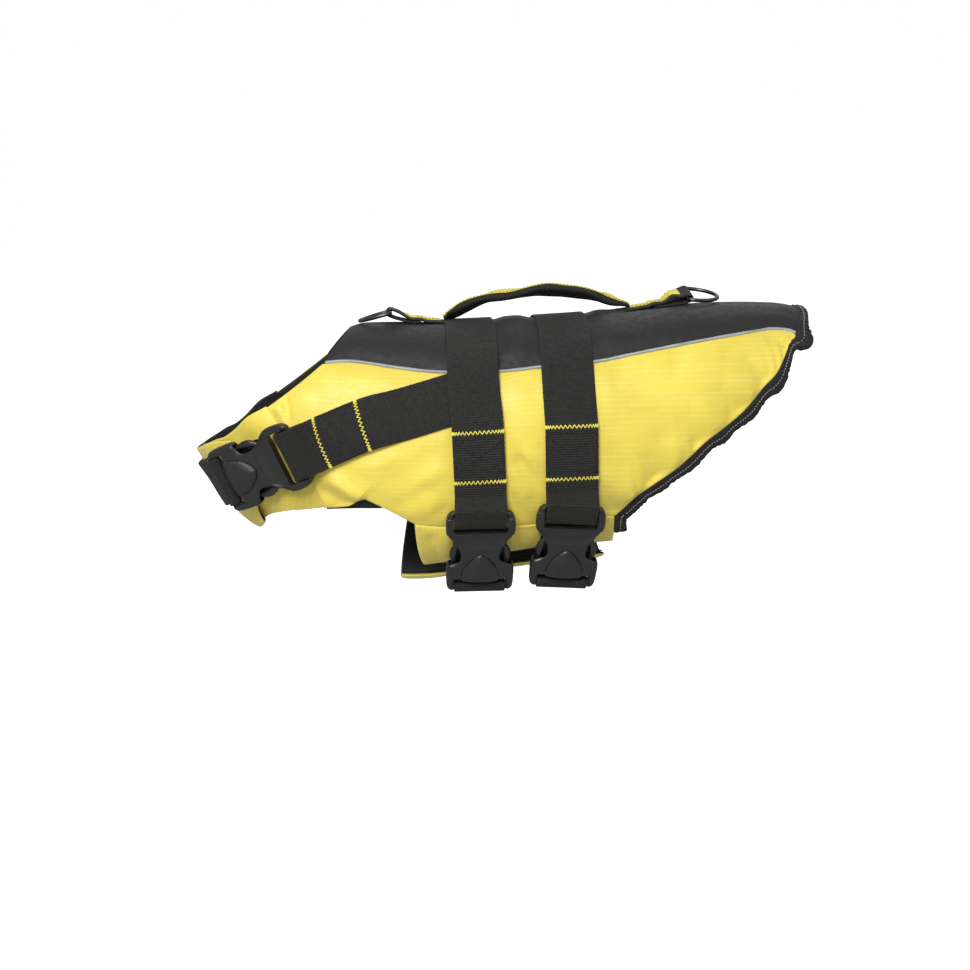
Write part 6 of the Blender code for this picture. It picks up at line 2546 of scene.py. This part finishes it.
@dataclass
class Buckles:
    """Four moulded side-release buckles, each a tongue and a body.

    In a buckle's own axes x runs across, y from the tongue's webbing end to the body's and z
    outward.
    """
    finishes: Finishes
    tongue_outline: tuple[Row, ...] = (
        (0, 17.5), (0.7, 20.2), (2.6, 22.9), (6.0, 24.7), (12.0, 25.5), (18.0, 25.3),
        (22.0, 24.2), (25.5, 22.0), (28.6, 19.2), (32.0, 16.8), (36.0, 15.2))
    body_outline: tuple[Row, ...] = (
        (21.0, 20.6), (24.0, 20.6), (27.0, 19.6), (30.5, 17.2), (34.5, 15.2), (38.5, 14.3),
        (42.0, 14.4), (44.6, 15.9), (46.4, 19.4), (47.6, 22.8), (49.0, 24.6), (53.0, 25.2),
        (61.0, 25.1), (67.0, 24.8), (69.8, 24.0), (71.4, 22.4), (72.0, 20.8))
    finger_line: tuple[Row, ...] = ((15.0, 29.0), (17.6, 32.0), (19.4, 36.0), (20.1, 41.0),
                                    (19.6, 46.5), (18.0, 51.0))
    shell_outline: tuple[Row, ...] = ((25, 19.0), (30, 19.8), (38, 20.2), (45, 21.0), (52, 23.0))
    dome_start: float = 38.6
    dome_half: float = 13.9
    dome_rise: float = 2.3
    recess_start: float = 65.8
    recess_arc: float = 5.6
    slot_end: float = 18.5
    mouth: float = 34.0
    mouth_arc: float = 12.5
    mouth_gap: float = 0.5
    ear_from: float = 19.0
    ear_end: float = 27.0
    ear_rise: float = 1.2
    ear_drop: float = 0.9
    bowl_height: float = 4.05
    bowl_depth: float = 1.5
    tongue_round: float = 2.0
    tongue_back_round: float = 1.6
    finger_radius: float = 1.6
    finger_swell: float = 1.25
    finger_flat: float = 0.86
    guide_half: float = 3.6
    guide_high: float = 1.5
    body_high: float = 4.1
    body_rise: float = 0.95
    body_crown: float = 0.75
    body_end_drop: float = 0.5
    body_back: float = 0.25
    body_round: float = 2.4
    dome_length: float = 21.0
    dome_power: float = 0.62
    dome_soft: float = 9.0
    groove_depth: float = 0.95
    groove_half: float = 0.55
    lip_height: float = 0.35
    lip_in: float = 2.6
    shell_z: Row = (-2.9, -3.9)
    shell_round: float = 0.5
    cavity: Row = (46.5, 34.0, 6.4)
    web_slot_spare: float = 0.3
    sharp_angle: float = radians(38)

    def mouth_line(self, x: Grid) -> Grid:
        """The arc of the body's mouth: y for each distance from the buckle's middle."""
        return self.mouth - self.mouth_arc * np.minimum(x / 20, 1.03) ** 5

    def tongue_slab(self) -> Patch:
        """The tongue's plate with fat ears, a hollowed face and a raised rim beside its slot.

        Returns:
            The slab before its slot is cut.
        """
        y = np.r_[np.linspace(0, 3, 11)[:-1], np.linspace(3, 36, 64)]
        shares = cosine_shares(67)
        outline = curved(self.tongue_outline, y)
        gap = outline_gap(outline, y, shares)
        x = np.abs(outline[:, None] * shares[None, :])
        depth = y[:, None]
        ear = smooth_step((x - self.ear_from) / 2.5) * smooth_step((self.ear_end - depth) / 5)
        half = BUCKLE.tongue / 2
        line = self.mouth_line(x) + self.mouth_gap
        share = np.clip((depth - self.slot_end) / (line - self.slot_end), 0, 1)
        bowl = self.bowl_depth * np.sin(pi * share) ** 0.8 * smooth_step((21 - x) / 6)
        top = np.where(depth < line, self.bowl_height - bowl, half - 0.1)
        top = np.where(depth < BUCKLE.bar + 1, half + self.ear_rise * ear, top)
        low = half + self.ear_drop * ear
        return slab(outline, y, shares, top - round_over(gap, self.tongue_round),
                    -low + round_over(gap, self.tongue_back_round))

    def fingers(self) -> Patch:
        """The tongue's two side prongs, thick where a hand presses them, and its middle guide.

        Returns:
            The prongs and the guide.
        """
        patches = []
        share = np.linspace(0, 1, 40)
        swell = self.finger_swell * np.sin(pi * np.clip(share * 1.15, 0, 1)) ** 2
        tip = np.sqrt(np.clip(1.02 - np.clip((share - 0.9) / 0.1, 0, 1) ** 2, 0.02, 1))
        for side in (-1, 1):
            line = curve_through(np.array(self.finger_line) * np.array([side, 1]), len(share))
            path = np.column_stack([line, 0 * share])
            patches.append(sweep(path, (self.finger_radius + swell) * tip, 16,
                                 flatten=self.finger_flat))
        y = np.linspace(31.0, 45.0, 15)
        shares = cosine_shares(13)
        outline = np.full(len(y), self.guide_half)
        gap = outline_gap(outline, y, shares)
        high = self.guide_high - round_over(gap, 1.0)
        patches.append(slab(outline, y, shares, high, -high))
        return joined(patches)

    def body_slab(self) -> Patch:
        """The body: a crowned box with a shield-shaped dome in a groove on its outer face.

        Returns:
            The slab before its cuts.
        """
        y = np.r_[np.linspace(21, 69, 92)[:-1], np.linspace(69, 72, 13)]
        shares = cosine_shares(79)
        outline = curved(self.body_outline, y)
        gap = outline_gap(outline, y, shares)
        x = np.abs(outline[:, None] * shares[None, :])
        depth = y[:, None]
        plain = self.body_high + self.body_rise * smooth_step((depth - 34) / 14)
        plain = plain - self.body_crown * (x / 25) ** 2
        plain = plain - self.body_end_drop * smooth_step((depth - 60) / 8)
        rise = np.clip((depth - self.dome_start) / self.dome_length, 0, 1)
        dome_side = self.dome_half * np.sin(rise * pi / 2) ** self.dome_power - x
        dome_end = self.recess_start - 0.2 - self.recess_arc * np.minimum(x / 14, 1) ** 2 - depth
        inside = np.where(rise > 0, np.minimum(dome_side, dome_end + 2.0),
                          -x - (self.dome_start - depth))
        dome = self.dome_rise * smooth_step(inside / self.dome_soft) ** 0.6
        groove = hill(inside, -0.1, self.groove_half) * smooth_step((dome_end + 1) / 3)
        lip = hill(gap, self.lip_in, 1.0) * smooth_step((depth - 46) / 4)
        top = plain + dome - self.groove_depth * groove + self.lip_height * lip
        low = plain + self.body_back
        edge = round_over(gap, self.body_round) * (0.35 + 0.65 * smooth_step((depth - 43) / 5))
        return slab(outline, y, shares, top - edge, -low + edge)

    def back_shell(self) -> Patch:
        """The body's inner shell, which runs straight behind the waist's open sides.

        Returns:
            The shell.
        """
        y = np.linspace(25, 52, 40)
        shares = cosine_shares(25)
        outline = curved(self.shell_outline, y)
        top, low = self.shell_z
        low = low + round_over(outline_gap(outline, y, shares), self.shell_round)
        return slab(outline, y, shares, np.full(low.shape, top), low)

    def mouth_cutter(self) -> Patch:
        """The cutter that gives the body's front edge its arc.

        Returns:
            The cutter.
        """
        shares = np.linspace(-1, 1, 61)
        x = 24.0 * shares
        along = np.linspace(0, 1, 3)[:, None]
        y = 15.0 * (1 - along) + self.mouth_line(np.abs(x))[None, :] * along
        x = np.broadcast_to(x, y.shape)
        return wall(np.stack([x, y, np.full(y.shape, 9.0)], -1),
                    np.stack([x, y, np.full(y.shape, -9.0)], -1), np.stack([x, y], -1) * MM)

    def recess_cutter(self, side: int) -> Patch:
        """The cutter of the recess at the body's end, its front edge curved round the dome.

        Args:
            side: 1 for the outer face, -1 for the inner.

        Returns:
            The cutter.
        """
        shares = np.linspace(-1, 1, 31)
        half = BUCKLE.slot_width / 2 + 0.4
        x = half * shares
        front = self.recess_start - self.recess_arc * np.minimum(np.abs(x) / 14, 1) ** 2
        along = np.linspace(0, 1, 5)[:, None]
        y = front[None, :] * (1 - along) + 75.0 * along
        x = np.broadcast_to(x, y.shape)
        near, far = np.full(y.shape, side * BUCKLE.tongue / 2), np.full(y.shape, side * 12.0)
        return wall(np.stack([x, y, near], -1), np.stack([x, y, far], -1),
                    np.stack([x, y], -1) * MM)

    @staticmethod
    def cut(solid: Patch, cutters: list[Patch]) -> bpy.types.Mesh:
        """The solid less its cutters, by exact booleans, as one mesh in the buckle's axes.

        Args:
            solid: what is cut.
            cutters: what is taken from it.

        Returns:
            The mesh.
        """
        body = loose_object("buckle_blank", solid)
        others = [loose_object("buckle_cutter", cutter) for cutter in cutters]
        for other in others:
            cut = body.modifiers.new("cut", "BOOLEAN")
            cut.object, cut.operation, cut.solver = other, "DIFFERENCE", "EXACT"
        graph = bpy.context.evaluated_depsgraph_get()
        mesh = bpy.data.meshes.new_from_object(body.evaluated_get(graph))
        for spare in (body, *others):
            bpy.data.objects.remove(spare)
        return mesh

    def build(self) -> None:
        """Cut one tongue and one body, and lay copies of them at the four places."""
        slot_length = self.slot_end - BUCKLE.bar
        slot = block((BUCKLE.slot_width, slot_length, 14),
                     (0, BUCKLE.bar + slot_length / 2, 0), 1.4)
        tongue = self.cut(self.tongue_slab(), [slot])
        fingers, shell = self.fingers(), self.back_shell()
        end_slot = block((CLOTH.web_wide + self.web_slot_spare, BUCKLE.slot, 16),
                         (0, BUCKLE.length - BUCKLE.bar - BUCKLE.slot / 2, 0), 1.2)
        cavity = block(self.cavity, (0, self.mouth, 0), 0.6)
        body = self.cut(self.body_slab(), [cavity, self.mouth_cutter(), self.recess_cutter(1),
                                           self.recess_cutter(-1), end_slot])
        LOG.info("buckle body: %d faces after its cuts", len(body.polygons))
        for spot in (BELLY_FRONT, BELLY_REAR, CHEST_LEFT, CHEST_RIGHT):
            matrix = spot.frame()
            placed = Matrix(matrix.tolist())
            placed.translation = placed.translation * MM
            for part, source in (("tongue", tongue), ("body", body)):
                mesh = source.copy()
                mesh.transform(placed)
                mesh.shade_smooth()
                mesh.set_sharp_from_angle(angle=self.sharp_angle)
                seat(f"{spot.name}_{part}_moulded", mesh, [self.finishes.plastic], "jacket",
                     (f"{spot.name}_{part}",))
            prongs = joined([fingers, shell])
            prongs.points = prongs.points @ matrix[:3, :3].T + matrix[:3, 3]
            put(spot.name + "_prongs", prongs, [self.finishes.plastic], "jacket")


# ---------------------------------------------------------------- studio
@dataclass
class Studio:
    """Camera, pale floor and soft lights; places in metres."""
    eye: Row = (-0.100, -1.115, 0.080)
    yaw: float = radians(3.75)
    pitch: float = radians(10.2)
    lens: float = 53.81
    sensor: float = 36.0
    floor_z: float = -0.42
    floor_reach: float = 30.0
    lights: tuple[tuple[str, Row, Row, float, float], ...] = (
        ("key_light", (-0.6, -1.5, 1.05), (0, 0, -0.05), 0.75, 31),
        ("side_light", (1.3, -1.0, 0.7), (0.05, 0, -0.05), 0.8, 2),
        ("back_light", (0.3, 1.4, 1.3), (0, 0, 0), 0.9, 4))

    def camera(self) -> None:
        """Camera that looks a little down on the wearer's left side."""
        data = bpy.data.cameras.new("camera")
        data.lens, data.sensor_width, data.clip_start = self.lens, self.sensor, 0.01
        made = bpy.data.objects.new("camera", data)
        ahead = Vector((sin(self.yaw) * cos(self.pitch), cos(self.yaw) * cos(self.pitch),
                        -sin(self.pitch)))
        right = ahead.cross(Vector((0, 0, 1))).normalized()
        up = right.cross(ahead)
        matrix = Matrix((right, up, -ahead)).transposed().to_4x4()
        matrix.translation = Vector(self.eye)
        made.matrix_world = matrix
        bpy.context.scene.collection.objects.link(made)
        bpy.context.scene.camera = made

    def floor(self) -> None:
        """A wide pale floor below the jacket."""
        mesh = bpy.data.meshes.new("floor")
        reach = self.floor_reach
        mesh.from_pydata([(-reach, -reach, self.floor_z), (reach, -reach, self.floor_z),
                          (reach, reach, self.floor_z), (-reach, reach, self.floor_z)], [],
                         [(0, 1, 2, 3)])
        made = bpy.data.objects.new("floor", mesh)
        surface = bpy.data.materials.new("floor")
        surface.use_nodes = True
        shader = surface.node_tree.nodes["Principled BSDF"]
        shader.inputs["Base Color"].default_value = (0.5, 0.5, 0.5, 1)
        shader.inputs["Roughness"].default_value = 0.9
        shader.inputs["Emission Color"].default_value = (1, 1, 1, 1)
        wire = Wiring(surface.node_tree)
        seen = wire.add("ShaderNodeLightPath").outputs["Is Camera Ray"]
        surface.node_tree.links.new(seen, shader.inputs["Emission Strength"])
        mesh.materials.append(surface)
        bpy.context.scene.collection.objects.link(made)

    def light(self, name: str, place: Row, target: Row, size: float, watts: float) -> None:
        """A square soft light that looks at a target.

        Args:
            name: the light's name.
            place: where it stands.
            target: where it looks.
            size: its width.
            watts: its power.
        """
        data = bpy.data.lights.new(name, "AREA")
        data.shape, data.size, data.energy = "SQUARE", size, watts
        made = bpy.data.objects.new(name, data)
        made.location = place
        made.rotation_euler = (Vector(target) - Vector(place)).to_track_quat("-Z", "Y").to_euler()
        bpy.context.scene.collection.objects.link(made)

    def build(self) -> None:
        """Make the camera, the floor, the world and the lights."""
        self.camera()
        self.floor()
        world = bpy.data.worlds.new("studio")
        world.use_nodes = True
        back = world.node_tree.nodes["Background"]
        back.inputs["Color"].default_value = (1, 1, 1, 1)
        wire = Wiring(world.node_tree)
        seen = wire.add("ShaderNodeLightPath").outputs["Is Camera Ray"]
        world.node_tree.links.new(wire.math("MULTIPLY_ADD", seen, 0.6, 0.4),
                                  back.inputs["Strength"])
        bpy.context.scene.world = world
        bpy.context.scene.view_settings.view_transform = "Standard"
        for values in self.lights:
            self.light(*values)


def main() -> None:
    """Build the jacket piece by piece, then the studio round it."""
    logging.basicConfig(level=logging.INFO, format="%(message)s")
    finishes = Finishes()
    chest, belly = ChestFlaps(finishes), BellyFlaps(finishes)
    parts = (QuiltedPanels(finishes), chest, belly, Facings(finishes), Trim(finishes),
             Straps(finishes, belly, chest), Buckles(finishes), Handle(finishes), Studio())
    for part in parts:
        part.build()
        LOG.info("%s built", type(part).__name__)


if __name__ == "__main__":
    main()
